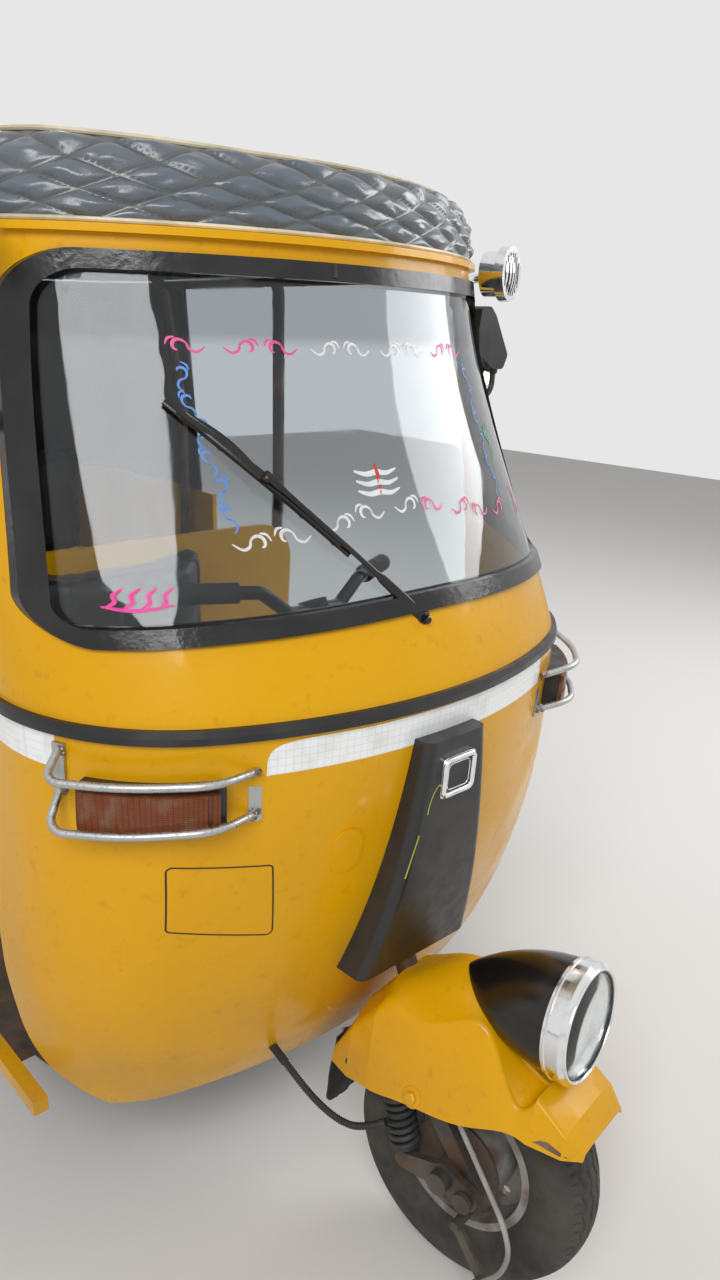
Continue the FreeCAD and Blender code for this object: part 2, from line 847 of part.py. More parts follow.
def make_rear_tub():
    height = V(0, 0, tub_top_z - tub_bottom_z)
    outer = Part.Face(tub_wire(0, tub_bottom_z, tub_front_u)).extrude(height)
    inner = Part.Face(tub_wire(tub_wall, tub_bottom_z, tub_front_u - 40)).extrude(height)
    wall = outer.cut(inner)
    axle = at(0, wheelbase, tyre_radius)
    arch = rod(axle - V(900, 0, 0), axle + V(900, 0, 0), arch_radius)
    lips = []
    panels = []
    for side in (-1, 1):
        face = at(side * (tub_half_width - tub_wall), wheelbase, tyre_radius)
        out = V(side * (tub_wall + arch_flare), 0, 0)
        ring = rod(face, face + out, arch_radius + arch_lip)
        lips.append(ring.common(box(-900, 900, tub_front_u, tub_rear_u, tub_bottom_z, 600)))
        x0, x1 = sorted((side * well_inner_x, side * (tub_half_width - 1)))
        panels.append(box(x0, x1, tub_front_u, tub_front_u + tub_wall, tub_bottom_z, deck_z))
        x0, x1 = sorted((side * well_inner_x, side * (well_inner_x + tub_wall)))
        panels.append(box(x0, x1, tub_front_u, tub_rear_u - 1, tub_bottom_z, deck_z))
    lid_hole = box(-lid_half_width - lid_gap, lid_half_width + lid_gap, tub_rear_u - 60,
                   tub_rear_u + 20, lid_low_z - lid_gap, lid_high_z + lid_gap)
    return fuse([wall] + lips + panels).cut([outer_arch(arch), lid_hole])


def outer_arch(arch):
    sides = [box(-900, -well_inner_x - 2 * tub_wall, tub_front_u - 50, tub_rear_u + 28, 0, 700)]
    sides.append(box(well_inner_x + 2 * tub_wall, 900, tub_front_u - 50, tub_rear_u + 28, 0, 700))
    return arch.common(Part.Compound(sides))


def make_seat_deck():
    side = tub_half_width - tub_wall - fit_gap
    rear = tub_rear_u - tub_wall - fit_gap
    low = deck_z + fit_gap
    points = [at(-side, tub_front_u, low), at(-side, rear, low), at(side, rear, low),
              at(side, tub_front_u, low)]
    corner = tub_corner - tub_wall - fit_gap
    deck = Part.Face(rounded_outline(points, [1.0, corner, corner, 1.0]))
    deck = deck.extrude(V(0, 0, deck_thickness))
    half = well_inner_x - fit_gap
    riser = box(-half, half, tub_front_u, tub_front_u + 12, floor_z, low + 1)
    board = box(-back_half_width, back_half_width, back_board_u, back_board_u + 12, low + 1,
                back_board_top)
    return fuse([deck, riser, board])


def make_partition():
    rear_face = partition_u + partition_thickness
    low = floor_z + floor_thickness + fit_gap
    half = partition_half_width
    face = [at(-half + 14, partition_u, low), at(half - 14, partition_u, low),
            at(half, partition_u, partition_top_z), at(-half, partition_u, partition_top_z)]
    panel = Part.Face(rounded_outline(face, [8.0, 8.0, 90.0, 90.0]))
    panel = panel.extrude(V(0, rear_face - partition_u, 0))
    front = partition_u - driver_box_depth
    outer = box(-driver_box_half_width, driver_box_half_width, front, partition_u + 1, low,
                driver_seat_z)
    inner = box(-driver_box_half_width + 10, driver_box_half_width - 10, front + 10, partition_u,
                low, driver_seat_z - 10)
    return fuse([panel, outer.cut(inner)])


def cushion(x0, x1, u0, u1, z0, z1, radius):
    block = box(x0, x1, u0, u1, z0, z1)
    return block.makeFillet(radius, block.Edges)


def make_driver_seat():
    rear = partition_u - fit_gap
    low = driver_seat_z + fit_gap
    base = cushion(-driver_box_half_width, driver_box_half_width, partition_u - driver_box_depth - 20,
                   rear, low, low + driver_cushion_height, cushion_radius)
    back = cushion(-driver_box_half_width, driver_box_half_width, rear - driver_back_depth, rear,
                   low + driver_cushion_height + fit_gap, driver_back_high_z - 60, cushion_radius)
    return Part.Compound([base, back])


def make_passenger_seat():
    low = deck_z + fit_gap + deck_thickness + fit_gap
    return cushion(-bench_half_width, bench_half_width, tub_front_u - 10, tub_front_u + bench_depth,
                   low, low + bench_height, cushion_radius)


def make_passenger_backrest():
    rear = back_board_u - fit_gap
    low = deck_z + 2 * fit_gap + deck_thickness + bench_height + fit_gap
    back = cushion(-back_half_width, back_half_width, rear - back_depth, rear,
                   low, low + back_height, cushion_radius)
    return back


def make_engine_lid():
    face = [at(-lid_half_width, tub_rear_u - tub_wall, lid_low_z),
            at(lid_half_width, tub_rear_u - tub_wall, lid_low_z),
            at(lid_half_width, tub_rear_u - tub_wall, lid_high_z),
            at(-lid_half_width, tub_rear_u - tub_wall, lid_high_z)]
    lid = Part.Face(rounded_outline(face, [18.0] * 4)).extrude(V(0, tub_wall, 0))
    cuts = []
    for i in range(louvre_count):
        z = lid_high_z - 60 - i * louvre_pitch
        cuts.append(box(-louvre_half_length, louvre_half_length, tub_rear_u - 30, tub_rear_u + 20,
                        z, z + louvre_height))
    for side in (-1, 1):
        hole = at(side * plate_hole_pitch / 2, tub_rear_u - 40, lid_low_z + 70)
        cuts.append(rod(hole, hole + V(0, 80, 0), plate_hole_radius))
    lid = lid.cut(cuts)
    knuckles = []
    for x in (-200, 200):
        knuckles.append(rod(at(x - 30, tub_rear_u + 8, lid_high_z + 2),
                            at(x + 30, tub_rear_u + 8, lid_high_z + 2), 6.0))
        knuckles.append(box(x - 30, x + 30, tub_rear_u - 1, tub_rear_u + 5, lid_high_z - 26,
                            lid_high_z + 2))
    return fuse([lid] + knuckles)


def make_lid_hinges():
    pieces = []
    for x in (-200, 200):
        for side in (-1, 1):
            x0, x1 = sorted((x + side * 31, x + side * 52))
            knuckle = rod(at(x0, tub_rear_u + 8, lid_high_z + 2),
                          at(x1, tub_rear_u + 8, lid_high_z + 2), 6.0)
            leaf = box(x0, x1, tub_rear_u + fit_gap, tub_rear_u + 5, lid_high_z + 2, lid_high_z + 34)
            pieces.append(fuse([knuckle, leaf]))
    return Part.Compound(pieces)


def make_tail_lamps():
    z = tub_top_z - 180
    lamp = box(-560, -480, tub_rear_u + fit_gap, tub_rear_u + 34, z - 70, z + 50)
    lamp = lamp.makeFillet(10, [e for e in lamp.Edges if e.CenterOfMass.y > front_axle_y + tub_rear_u + 20])
    return pair(lamp)


def make_rear_bumper():
    z = 280.0
    rear = tub_rear_u + 40
    points = [at(-560, tub_rear_u - tub_wall - 40, z), at(-560, rear, z), at(560, rear, z),
              at(560, tub_rear_u - tub_wall - 40, z)]
    bar = tube(points, 15.0, 45.0)
    struts = []
    for side in (-1, 1):
        x0, x1 = sorted((side * 212, side * 242))
        struts.append(box(x0, x1, engine_rail_u + fit_gap, rear, z - 12, z + 6))
    return fuse([bar] + struts)


# Roof


def roof_wire(height, inset):
    z = gutter_z + height
    _, half_width, nose, front_radius, corner_radius = screen_sections[-1]
    centre_u = nose + front_radius
    corner_x = half_width - corner_radius
    corner_u = centre_u - math.sqrt((front_radius - corner_radius) ** 2 - corner_x**2)
    turn = math.asin(corner_x / (front_radius - corner_radius))
    small = corner_radius - inset
    rear = roof_rear_u - inset
    rear_corner = roof_rear_corner - inset
    rear_x = roof_rear_half - roof_rear_corner
    rear_centre = roof_rear_u - roof_rear_corner
    slope = math.atan2(roof_rear_half - half_width, rear_centre - corner_u)
    quarter = math.pi / 2

    def front(side, angle):
        x = corner_x + small * math.sin(angle)
        return at(side * x, corner_u - small * math.cos(angle), z)

    def back(side, angle):
        x = rear_x + rear_corner * math.sin(angle)
        return at(side * x, rear_centre + rear_corner * math.cos(angle), z)

    flank = quarter - slope
    edges = [
        Part.LineSegment(back(-1, quarter + slope), front(-1, flank)),
        Part.Arc(front(-1, flank), front(-1, (turn + flank) / 2), front(-1, turn)),
        Part.Arc(front(-1, turn), at(0, nose + inset, z), front(1, turn)),
        Part.Arc(front(1, turn), front(1, (turn + flank) / 2), front(1, flank)),
        Part.LineSegment(front(1, flank), back(1, quarter + slope)),
        Part.Arc(back(1, quarter + slope), back(1, quarter / 2), back(1, 0)),
        Part.LineSegment(back(1, 0), back(-1, 0)),
        Part.Arc(back(-1, 0), back(-1, quarter / 2), back(-1, quarter + slope)),
    ]
    return Part.Wire([edge.toShape() for edge in edges])


def make_canopy():
    base = fit_gap
    outer = Part.makeLoft([roof_wire(base + h, i) for h, i in roof_rows], True, True)
    inner = Part.makeLoft([roof_wire(base + h - roof_wall, i + roof_wall) for h, i in roof_rows],
                          True, True)
    return outer.cut(inner)


def hood_wire(z, half, rear, corner, front_u):
    points = [at(-half, front_u, z), at(-half, rear, z), at(half, rear, z), at(half, front_u, z)]
    return rounded_outline(points, [1.0, corner, corner, 1.0])


def make_hood_rear():
    blocks = []
    for inset, front_u in ((0, hood_front_u), (hood_wall, hood_front_u - 60)):
        low = hood_wire(tub_top_z + fit_gap, tub_half_width - inset, tub_rear_u - inset,
                        tub_corner - inset, front_u)
        high = hood_wire(gutter_z, roof_rear_half - inset, roof_rear_u - inset,
                         roof_rear_corner - inset, front_u)
        blocks.append(Part.makeLoft([low, high], True, True))
    wall = blocks[0].cut(blocks[1])
    u = tub_rear_u - 200
    face = [at(-rear_window_half_width, u, rear_window_low_z),
            at(rear_window_half_width, u, rear_window_low_z),
            at(rear_window_half_width, u, rear_window_high_z),
            at(-rear_window_half_width, u, rear_window_high_z)]
    window = Part.Face(rounded_outline(face, [rear_window_corner] * 4)).extrude(V(0, 300, 0))
    return wall.cut(window)


def roof_half_at(u):
    front_u = 650.0
    half = screen_sections[-1][1]
    share = (u - front_u) / (roof_rear_u - roof_rear_corner - front_u)
    return half + (roof_rear_half - half) * share


def make_hood_frame():
    low = floor_z + floor_thickness + fit_gap
    pieces = []
    for u in (front_bow_u, rear_bow_u):
        top_half = roof_half_at(u) - 2 * bow_radius - 8
        foot_half = partition_half_width - 20 if u < tub_front_u else rear_bow_foot
        foot_z = low if u < tub_front_u else deck_z + fit_gap + deck_thickness + fit_gap
        points = [at(-foot_half, u, foot_z), at(-foot_half, u, 1180), at(-top_half, u, roof_rail_z),
                  at(-top_half + 120, u, bow_crown_z), at(top_half - 120, u, bow_crown_z),
                  at(top_half, u, roof_rail_z), at(foot_half, u, 1180), at(foot_half, u, foot_z)]
        pieces.append(tube(points, bow_radius, 60.0))
    for side in (-1, 1):
        start = at(side * 405, 545, roof_rail_z)
        end_x = roof_half_at(rear_bow_u) - 2 * bow_radius - 8
        end = at(side * end_x, rear_bow_u, roof_rail_z)
        pieces.append(rod(start, end, bow_radius - 3))
    return fuse(pieces)


# Wheels


def wheel_profile(points, centre):
    # points are (x, distance from the axle)
    corners = [centre + V(x, 0, r) for x, r in points]
    return Part.Face(polygon(corners)).revolve(centre, V(1, 0, 0), 360)


def make_tyre(centre):
    hoop = tyre_radius - tyre_half_width
    outer = Part.makeTorus(hoop, tyre_half_width, centre, V(1, 0, 0))
    inner = Part.makeTorus(hoop, tyre_half_width - tyre_carcass, centre, V(1, 0, 0))
    wide = V(tyre_half_width + 10, 0, 0)
    seat = rod(centre - wide, centre + wide, bead_radius)
    lips = []
    for side in (-1, 1):
        start = centre + V(side * (rim_half_width - rim_lip - fit_gap), 0, 0)
        lips.append(rod(start, start + V(side * 40, 0, 0), rim_lip_radius + fit_gap))
    return outer.cut([inner, seat] + lips)


def make_rim(centre, axle_radius, drum_side):
    barrel = bead_radius - fit_gap
    inner = barrel - rim_sheet
    half = rim_half_width
    lip = rim_lip_radius
    hub = axle_radius + 16
    rim = wheel_profile(
        [(-half, inner), (half, inner), (half, lip), (half - rim_lip, lip),
         (half - rim_lip, barrel), (-half + rim_lip, barrel), (-half + rim_lip, lip), (-half, lip)],
        centre)
    disc_x = -drum_side * 14.0
    disc = wheel_profile(
        [(disc_x - 4, 5), (disc_x + 4, 5), (disc_x + 4, inner + 1), (disc_x - 4, inner + 1)], centre)
    drum_end = drum_side * drum_half_width
    x0, x1 = sorted((disc_x, drum_end))
    drum = wheel_profile([(x0, drum_radius - 8), (x1, drum_radius - 8), (x1, drum_radius),
                          (x0, drum_radius)], centre)
    x0, x1 = sorted((disc_x - drum_side * 14, drum_side * 30))
    boss = wheel_profile([(x0, 5), (x1, 5), (x1, hub), (x0, hub)], centre)
    wheel = fuse([rim, disc, drum, boss])
    wide = V(200, 0, 0)
    cuts = [rod(centre - wide, centre + wide, axle_radius + bore_gap)]
    for i in range(vent_count):
        angle = 2 * math.pi * i / vent_count
        place = centre + V(0, vent_circle * math.cos(angle), vent_circle * math.sin(angle))
        cuts.append(rod(place - wide, place + wide, vent_radius))
    return wheel.cut(cuts)


def rear_centre(side):
    return at(side * rear_track / 2, wheelbase, tyre_radius)


# Front assembly, drawn straight ahead and turned to the angle at which it stands


def make_steering_fork():
    stem = rod(steering_point(yoke_z), steering_point(bar_z - 30), stem_radius)
    neck = rod(steering_point(bar_z - 60), steering_point(bar_z + 14), stem_radius + 5)
    stem_u = steering_u(yoke_z)
    left = leg_x - leg_thickness / 2
    yoke = box(left, stem_radius + 6, stem_u - 27, stem_u + 20, yoke_z - yoke_height / 2,
               yoke_z + yoke_height / 2)
    pivot = ahead(left, link_pivot_f, link_pivot_z)
    top = at(left, stem_u - 12, yoke_z)
    along = (pivot - top).normalize()
    across = V(0, -along.z, along.y) * (leg_width / 2)
    corners = [top + across, top - across, pivot - across * 0.8, pivot + across * 0.8]
    leg = prism(corners, V(leg_thickness, 0, 0))
    eye = rod(pivot, pivot + V(leg_thickness, 0, 0), leg_width * 0.4)
    pin = rod(pivot - V(32, 0, 0), pivot, 9.0)
    nut = rod(pivot - V(32, 0, 0), pivot - V(24, 0, 0), 15.0)
    shock_pin = ahead(left - 20, shock_top_f, shock_top_z + 8)
    lug_start = ahead(left, shock_top_f, shock_top_z + 8)
    lug = prism([lug_start + V(0, -46, 14), lug_start + V(0, 12, 14), lug_start + V(0, 12, -8),
                 lug_start + V(0, -46, -8)], V(leg_thickness, 0, 0))
    hook = rod(shock_pin, lug_start + V(2, 0, 0), 7.0)
    lift = box(left, left + leg_thickness, stem_u - 27, stem_u + 12, shock_top_z, yoke_z)
    return fuse([stem, neck, yoke, leg, eye, pin, nut, lug, hook, lift])


def make_fork_link():
    x0 = link_x - link_thickness / 2
    pivot = ahead(x0, link_pivot_f, link_pivot_z)
    axle = ahead(x0, 0, tyre_radius)
    tail = ahead(x0, link_tail_f, link_tail_z)
    depth = V(link_thickness, 0, 0)
    half = link_height / 2
    eyes = [rod(pivot, pivot + depth, half * 0.85), rod(axle, axle + depth, half),
            rod(tail, tail + depth, half * 0.6)]
    upper = [pivot + V(0, 0, half * 0.8), axle + V(0, 0, half * 0.95), tail + V(0, 0, half * 0.55)]
    lower = [tail - V(0, 0, half * 0.55), axle - V(0, 0, half * 0.95), pivot - V(0, 0, half * 0.8)]
    web = prism(upper + lower, depth)
    shaft = rod(ahead(axle_end_x, 0, tyre_radius), ahead(44, 0, tyre_radius), front_axle_radius)
    caps = [rod(ahead(axle_end_x, 0, tyre_radius), ahead(x0, 0, tyre_radius), 17.0),
            rod(ahead(36, 0, tyre_radius), ahead(46, 0, tyre_radius), 15.0)]
    plate = rod(ahead(brake_plate_x - 2, 0, tyre_radius), ahead(brake_plate_x + 2, 0, tyre_radius),
                drum_radius + 4)
    collar = rod(ahead(x0, 0, tyre_radius), ahead(brake_plate_x, 0, tyre_radius), 22.0)
    hook = rod(tail, tail + V(24, 0, 0), 7.0)
    link = fuse(eyes + [web, shaft, plate, collar, hook] + caps + brake_lever())
    pin = rod(pivot - V(50, 0, 0), pivot + V(50, 0, 0), 9.0 + bore_gap)
    leg_side = leg_x - leg_thickness / 2
    return link.cut([pin, leg_slot(leg_side)])


def brake_lever():
    # the lever at the foot of the brake plate, with the socket that holds the cable's end
    last, end = [ahead(*point) for point in cable_route[-2:]]
    along = (end - last).normalize()
    socket = rod(end + along * fit_gap, end + along * 16, cable_radius + 3)
    inner_x = end.x + cable_radius + 1.5
    pivot = ahead(inner_x, lever_pivot_f, lever_pivot_z)
    pin = rod(ahead(brake_plate_x, lever_pivot_f, lever_pivot_z), pivot - V(4, 0, 0), 8.0)
    foot = V(inner_x, 0, 0) + V(0, (end + along * 9).y, (end + along * 9).z)
    reach = (foot - pivot).normalize()
    across = V(0, -reach.z, reach.y) * 8
    blade = prism([pivot + across, pivot - across, foot - across, foot + across], V(7, 0, 0))
    return [socket, pin, blade]


def leg_slot(leg_side):
    top = at(leg_side, steering_u(yoke_z) - 12, yoke_z)
    pivot = ahead(leg_side, link_pivot_f, link_pivot_z)
    along = (pivot - top).normalize()
    across = V(0, -along.z, along.y) * (leg_width / 2 + 1)
    corners = [top + across, top - across, pivot - across, pivot + across]
    slot = prism(corners, V(leg_thickness + 1, 0, 0))
    start = pivot - V(fit_gap, 0, 0)
    return slot.fuse(rod(start, start + V(leg_thickness + 1, 0, 0), leg_width / 2))


def make_front_shock():
    top_pin = ahead(shock_x, shock_top_f, shock_top_z + 8)
    low_pin = ahead(shock_x, link_tail_f, link_tail_z)
    along = (low_pin - top_pin).normalize()
    top = top_pin + along * 15.5
    low = low_pin - along * (link_height * 0.3 + fit_gap)
    length = (low - top).Length
    damper = rod(top, low, 8.0)
    rings = []
    pitch = (length - 2 * coil_wire) / (coil_turns - 1)
    for i in range(coil_turns):
        centre = top + along * (coil_wire + i * pitch)
        rings.append(Part.makeTorus(coil_radius - coil_wire, coil_wire, centre, along))
    sleeve = rod(top, low, coil_radius - coil_wire)
    return fuse([damper.fuse(sleeve)] + rings)


def fender_wire(row, inset, drop):
    f, low_half, low, side_half, side, crown_half, crown, side_radius, crown_radius = row
    foot = low_half - inset + drop * (low_half - side_half) / (side - low)
    points = [
        ahead(-foot, f, low - drop),
        ahead(foot, f, low - drop),
        ahead(side_half - inset, f, side - inset / 2),
        ahead(crown_half, f, crown - inset),
        ahead(-crown_half, f, crown - inset),
        ahead(-side_half + inset, f, side - inset / 2),
    ]
    return rounded_outline(points, [0.5, 0.5, side_radius, crown_radius, crown_radius, side_radius])


def fender_block(inset, drop):
    parts = []
    ends = [0] + fender_creases + [len(fender_rows) - 1]
    for first, last in zip(ends, ends[1:]):
        wires = [fender_wire(row, inset, drop) for row in fender_rows[first : last + 1]]
        parts.append(Part.makeLoft(wires, True, len(wires) < 4))
    return fuse(parts)


def make_front_fender():
    shell = fender_block(0, 0).cut(fender_block(fender_wall, 60))
    stem = rod(steering_point(yoke_z - 60), steering_point(600), stem_radius + fit_gap)
    return shell.cut(stem)


def lamp_axis():
    angle = math.radians(lamp_pitch)
    return V(0, -math.cos(angle), math.sin(angle))


def lamp_point(distance):
    return ahead(0, lamp_f, lamp_z) - lamp_axis() * distance


def revolve_lamp(points):
    # points are (distance behind the ring's front, radius)
    up = V(0, math.sin(math.radians(lamp_pitch)), math.cos(math.radians(lamp_pitch)))
    return [lamp_point(d) + up * r for d, r in points]


def make_headlamp_shell():
    back = lamp_length
    outer = revolve_lamp([(ring_length, lamp_radius), (back * 0.55, lamp_radius * 0.82),
                          (back - 6, lamp_radius * 0.24), (back, 0)])
    curve = Part.Arc(outer[0], outer[1], outer[2]).toShape()
    tip = Part.LineSegment(outer[2], outer[3]).toShape()
    front = revolve_lamp([(ring_length, 0)])[0]
    spine = Part.LineSegment(outer[3], front).toShape()
    close = Part.LineSegment(front, outer[0]).toShape()
    solid = Part.Face(Part.Wire([curve, tip, spine, close])).revolve(front, lamp_axis(), 360)
    return solid.cut(fender_block(-fit_gap, 0))


def make_headlamp_ring():
    points = revolve_lamp([(ring_length - fit_gap, lens_radius - 2), (ring_length - fit_gap, ring_radius - 3),
                           (6, ring_radius), (0, ring_radius - 6), (0, lens_radius),
                           (14, lens_radius), (14, lens_radius - 2)])
    return Part.Face(polygon(points)).revolve(lamp_point(0), lamp_axis(), 360)


def make_headlamp_lens():
    radius = lens_radius - fit_gap
    front = 4 - lens_dome
    sphere_radius = (radius**2 + lens_dome**2) / (2 * lens_dome)
    dome = Part.makeSphere(sphere_radius, lamp_point(front + sphere_radius))
    return rod(lamp_point(12), lamp_point(front - 1), radius).common(dome)


def make_mudflap():
    # hangs behind the fender's rear edge
    fender_f, fender_top = fender_rows[0][0], fender_rows[0][6]
    top = ahead(0, fender_f - flap_thickness - 0.5, fender_top - 1)
    low = ahead(0, fender_f - 20, flap_low_z)
    across = V(60, 0, 0)
    points = [top - across, top + across, low + across * 0.8, low - across * 0.8]
    flap = Part.Face(rounded_outline(points, [6.0, 6.0, 16.0, 16.0]))
    normal = (low - top).cross(across).normalize()
    return flap.extrude(normal * flap_thickness)


def bar_points(reach):
    centre = steering_point(bar_z)
    half = reach
    return [
        centre + V(-half, bar_sweep, bar_rise),
        centre + V(-half * 0.45, 8, bar_rise),
        centre + V(-60, 0, 0),
        centre + V(60, 0, 0),
        centre + V(half * 0.45, 8, bar_rise),
        centre + V(half, bar_sweep, bar_rise),
    ]


def make_handlebar():
    bar = tube(bar_points(bar_half), bar_radius, 30.0)
    clear = rod(steering_point(bar_z - 80), steering_point(bar_z + 14), stem_radius + 5 + fit_gap)
    halves = bar.cut(clear)
    return halves


def make_handlebar_grips():
    points = bar_points(bar_half)
    grips = []
    for outer, inner in ((points[0], points[1]), (points[5], points[4])):
        along = (inner - outer).normalize()
        sleeve = rod(outer, outer + along * grip_length, grip_radius)
        hole = rod(outer - along * 5, outer + along * (grip_length + 5), bar_radius + fit_gap / 2)
        cap = rod(outer - along * 6, outer - along * fit_gap, grip_radius)
        ring = rod(outer - along * fit_gap, outer, grip_radius).cut(hole)
        grips.append(fuse([sleeve.cut(hole), ring, cap]))
    return Part.Compound(grips)


cable_route = [(-95.8, 2.0, 336.0), (-95.8, 20.0, 309.0), (-101.0, 74.0, 248.0), (-104.0, 112.0, 203.0),
               (-104.0, 128.0, 162.0), (-104.0, 118.0, 118.0), (-104.0, 92.0, 86.0)]
cable_radius = 4.0
lever_pivot_f = 34.0
lever_pivot_z = 142.0


def make_brake_cable():
    points = [ahead(x, f, z) for x, f, z in cable_route]
    return tube(points, cable_radius)


# Driving gear, engine and rear suspension


def make_rear_arms():
    pivot = at(arm_pivot_x, arm_pivot_u, arm_pivot_z)
    hub_x = rear_track / 2 - drum_half_width - running_gap
    hub = at(hub_x, wheelbase, tyre_radius)
    sleeve = rod(pivot - V(28, 0, 0), pivot + V(28, 0, 0), 30.0)
    arm = tube([pivot, at(arm_pivot_x + 70, wheelbase - 160, 232), at(hub_x - 50, wheelbase - 16, 206)], 24.0, 160.0)
    plate = rod(hub - V(4, 0, 0), hub, drum_radius + 4)
    carrier = rod(hub - V(90, 0, 0), hub, 34.0)
    axle = rod(hub, at(rear_track / 2 + 44, wheelbase, tyre_radius), rear_axle_radius)
    nut = rod(at(rear_track / 2 + 33, wheelbase, tyre_radius),
              at(rear_track / 2 + 46, wheelbase, tyre_radius), 20.0)
    seat = rod(at(spring_x, spring_u, 236), at(spring_x, spring_u, spring_seat_z), 44.0)
    arm = fuse([sleeve, arm, plate, carrier, axle, nut, seat])
    bush = rod(pivot - V(60, 0, 0), pivot + V(60, 0, 0), 17.0 + fit_gap)
    return pair(arm.cut(bush))


spring_x = rear_track / 2 - 161.0
spring_u = wheelbase - 110.0
spring_seat_z = 260.0


def make_rear_springs():
    low = at(spring_x, spring_u, spring_seat_z + fit_gap)
    high = at(spring_x, spring_u, deck_z)
    core = rod(low, high, 26.0)
    rings = []
    for i in range(8):
        z = low.z + 8 + i * (high.z - low.z - 16) / 7
        rings.append(Part.makeTorus(30.0, 6.0, at(spring_x, spring_u, z), V(0, 0, 1)))
    return pair(fuse([core] + rings))


def make_drive_shafts():
    inner = at(150 + fit_gap, wheelbase, 235)
    hub_x = rear_track / 2 - drum_half_width - running_gap
    outer = at(hub_x - 90 - fit_gap, wheelbase, tyre_radius + 6)
    along = (outer - inner).normalize()
    shaft = rod(inner, outer, 12.0)
    boots = [rod(inner, inner + along * 50, 30.0), rod(outer - along * 46, outer, 28.0)]
    trim = [box(0, inner.x, wheelbase - 100, wheelbase + 100, 100, 400),
            box(outer.x, 700, wheelbase - 100, wheelbase + 100, 100, 400)]
    return pair(fuse([shaft] + boots).cut(trim))


def make_engine():
    low = floor_z - rail_height + 44
    block = box(-150, 150, wheelbase - 170, engine_rear_u, 190, 480)
    inner_rail = rail_x - 20 - fit_gap
    beams = [box(-inner_rail, inner_rail, u, u + 50, low - 30, low - 2) for u in (wheelbase - 120, wheelbase + 100)]
    return fuse([block] + beams)


def make_silencer():
    drum = rod(at(-190, silencer_u, 420), at(190, silencer_u, 420), 48.0)
    pipe = tube([at(170, silencer_u, 420), at(262, silencer_u, 420), at(262, silencer_u + 20, 262),
                 at(262, silencer_u + 76, 262)], 16.0, 34.0)
    hanger = box(-15, 15, engine_rail_u - 24, engine_rail_u - 2,
                 floor_z - rail_height + 44 + fit_gap, 410)
    inlet = rod(at(-120, engine_rear_u + fit_gap, 420), at(-120, silencer_u - 40, 420), 16.0)
    return fuse([drum, pipe, hanger, inlet])


def make_dashboard():
    section_low = 905.0
    section_high = 1010.0
    slab = box(-470, 470, 60, 330, section_high - 16, section_high)
    slab = slab.fuse(box(-470, 470, 314, 330, section_low, section_high))
    inner_low = cab_block(apron_sections, cab_wall + fit_gap, cab_rear_u)
    inner_high = cab_block(screen_sections, cab_wall + fit_gap, cab_rear_u)
    room = slab.common(inner_low.fuse(inner_high))
    clear = rod(steering_point(700), steering_point(1100), stem_radius + 5 + running_gap)
    return room.cut(clear)


hose_route = [(-182.0, 300.0, 318.0), (-180.0, 250.0, 300.0), (-166.0, 196.0, 258.0),
              (-150.0, 150.0, 236.0), (-130.0, 118.0, 232.0)]
hose_radius = 6.0


def hose_points():
    standoff = coil_radius + hose_radius + fit_gap
    end = ahead(shock_x - standoff, shock_top_f + 12, 246)
    return [at(x, u, z) for x, u, z in hose_route] + [steered(Part.Vertex(end)).Point]


def brake_hose(radius):
    return tube(hose_points(), radius)


front_centre = at(0, 0, axle_z)

nodes = {
    "apron": make_apron(),
    "windscreen_surround": make_windscreen_surround(),
    "belt_strip": make_belt_strip(),
    "windscreen_seal": make_windscreen_seal(),
    "windscreen_glass": make_windscreen_glass(),
    "roof_visor": make_roof_visor(),
    "column_cowl": make_column_cowl(),
    "cowl_badge": make_cowl_badge(),
    "indicator_housings": make_indicator_housings(),
    "indicator_lenses": make_indicator_lenses(),
    "indicator_guards": make_indicator_guards(),
    "wiper": make_wiper(),
    "roof_horns": make_roof_horns(),
    "mirrors": make_mirrors(),
    "floor_pan": make_floor_pan(),
    "chassis": make_chassis(),
    "steering_head": make_steering_head(),
    "side_sills": make_side_sills(),
    "rear_tub": make_rear_tub(),
    "seat_deck": make_seat_deck(),
    "partition": make_partition(),
    "driver_seat": make_driver_seat(),
    "passenger_seat": make_passenger_seat(),
    "passenger_backrest": make_passenger_backrest(),
    "lid_hinges": make_lid_hinges(),
    "tail_lamps": make_tail_lamps(),
    "rear_bumper": make_rear_bumper(),
    "canopy": make_canopy(),
    "hood_rear": make_hood_rear(),
    "hood_frame": make_hood_frame(),
    "rear_arms": make_rear_arms(),
    "rear_springs": make_rear_springs(),
    "drive_shafts": make_drive_shafts(),
    "engine": make_engine(),
    "silencer": make_silencer(),
    "dashboard": make_dashboard(),
    "brake_hose": brake_hose(hose_radius),
    "engine_lid": make_engine_lid(),
    "steering_fork": steered(make_steering_fork()),
    "fork_link": steered(make_fork_link()),
    "front_shock": steered(make_front_shock()),
    "front_fender": steered(make_front_fender()),
    "headlamp_shell": steered(make_headlamp_shell()),
    "headlamp_ring": steered(make_headlamp_ring()),
    "headlamp_lens": steered(make_headlamp_lens()),
    "mudflap": steered(make_mudflap()),
    "handlebar": steered(make_handlebar()),
    "handlebar_grips": steered(make_handlebar_grips()),
    "brake_cable": steered(make_brake_cable()),
    "front_tyre": steered(make_tyre(front_centre)),
    "front_rim": steered(make_rim(front_centre, front_axle_radius, -1)),
    "rear_left_tyre": make_tyre(rear_centre(1)),
    "rear_left_rim": make_rim(rear_centre(1), rear_axle_radius, -1),
    "rear_right_tyre": make_tyre(rear_centre(-1)),
    "rear_right_rim": make_rim(rear_centre(-1), rear_axle_radius, 1),
}



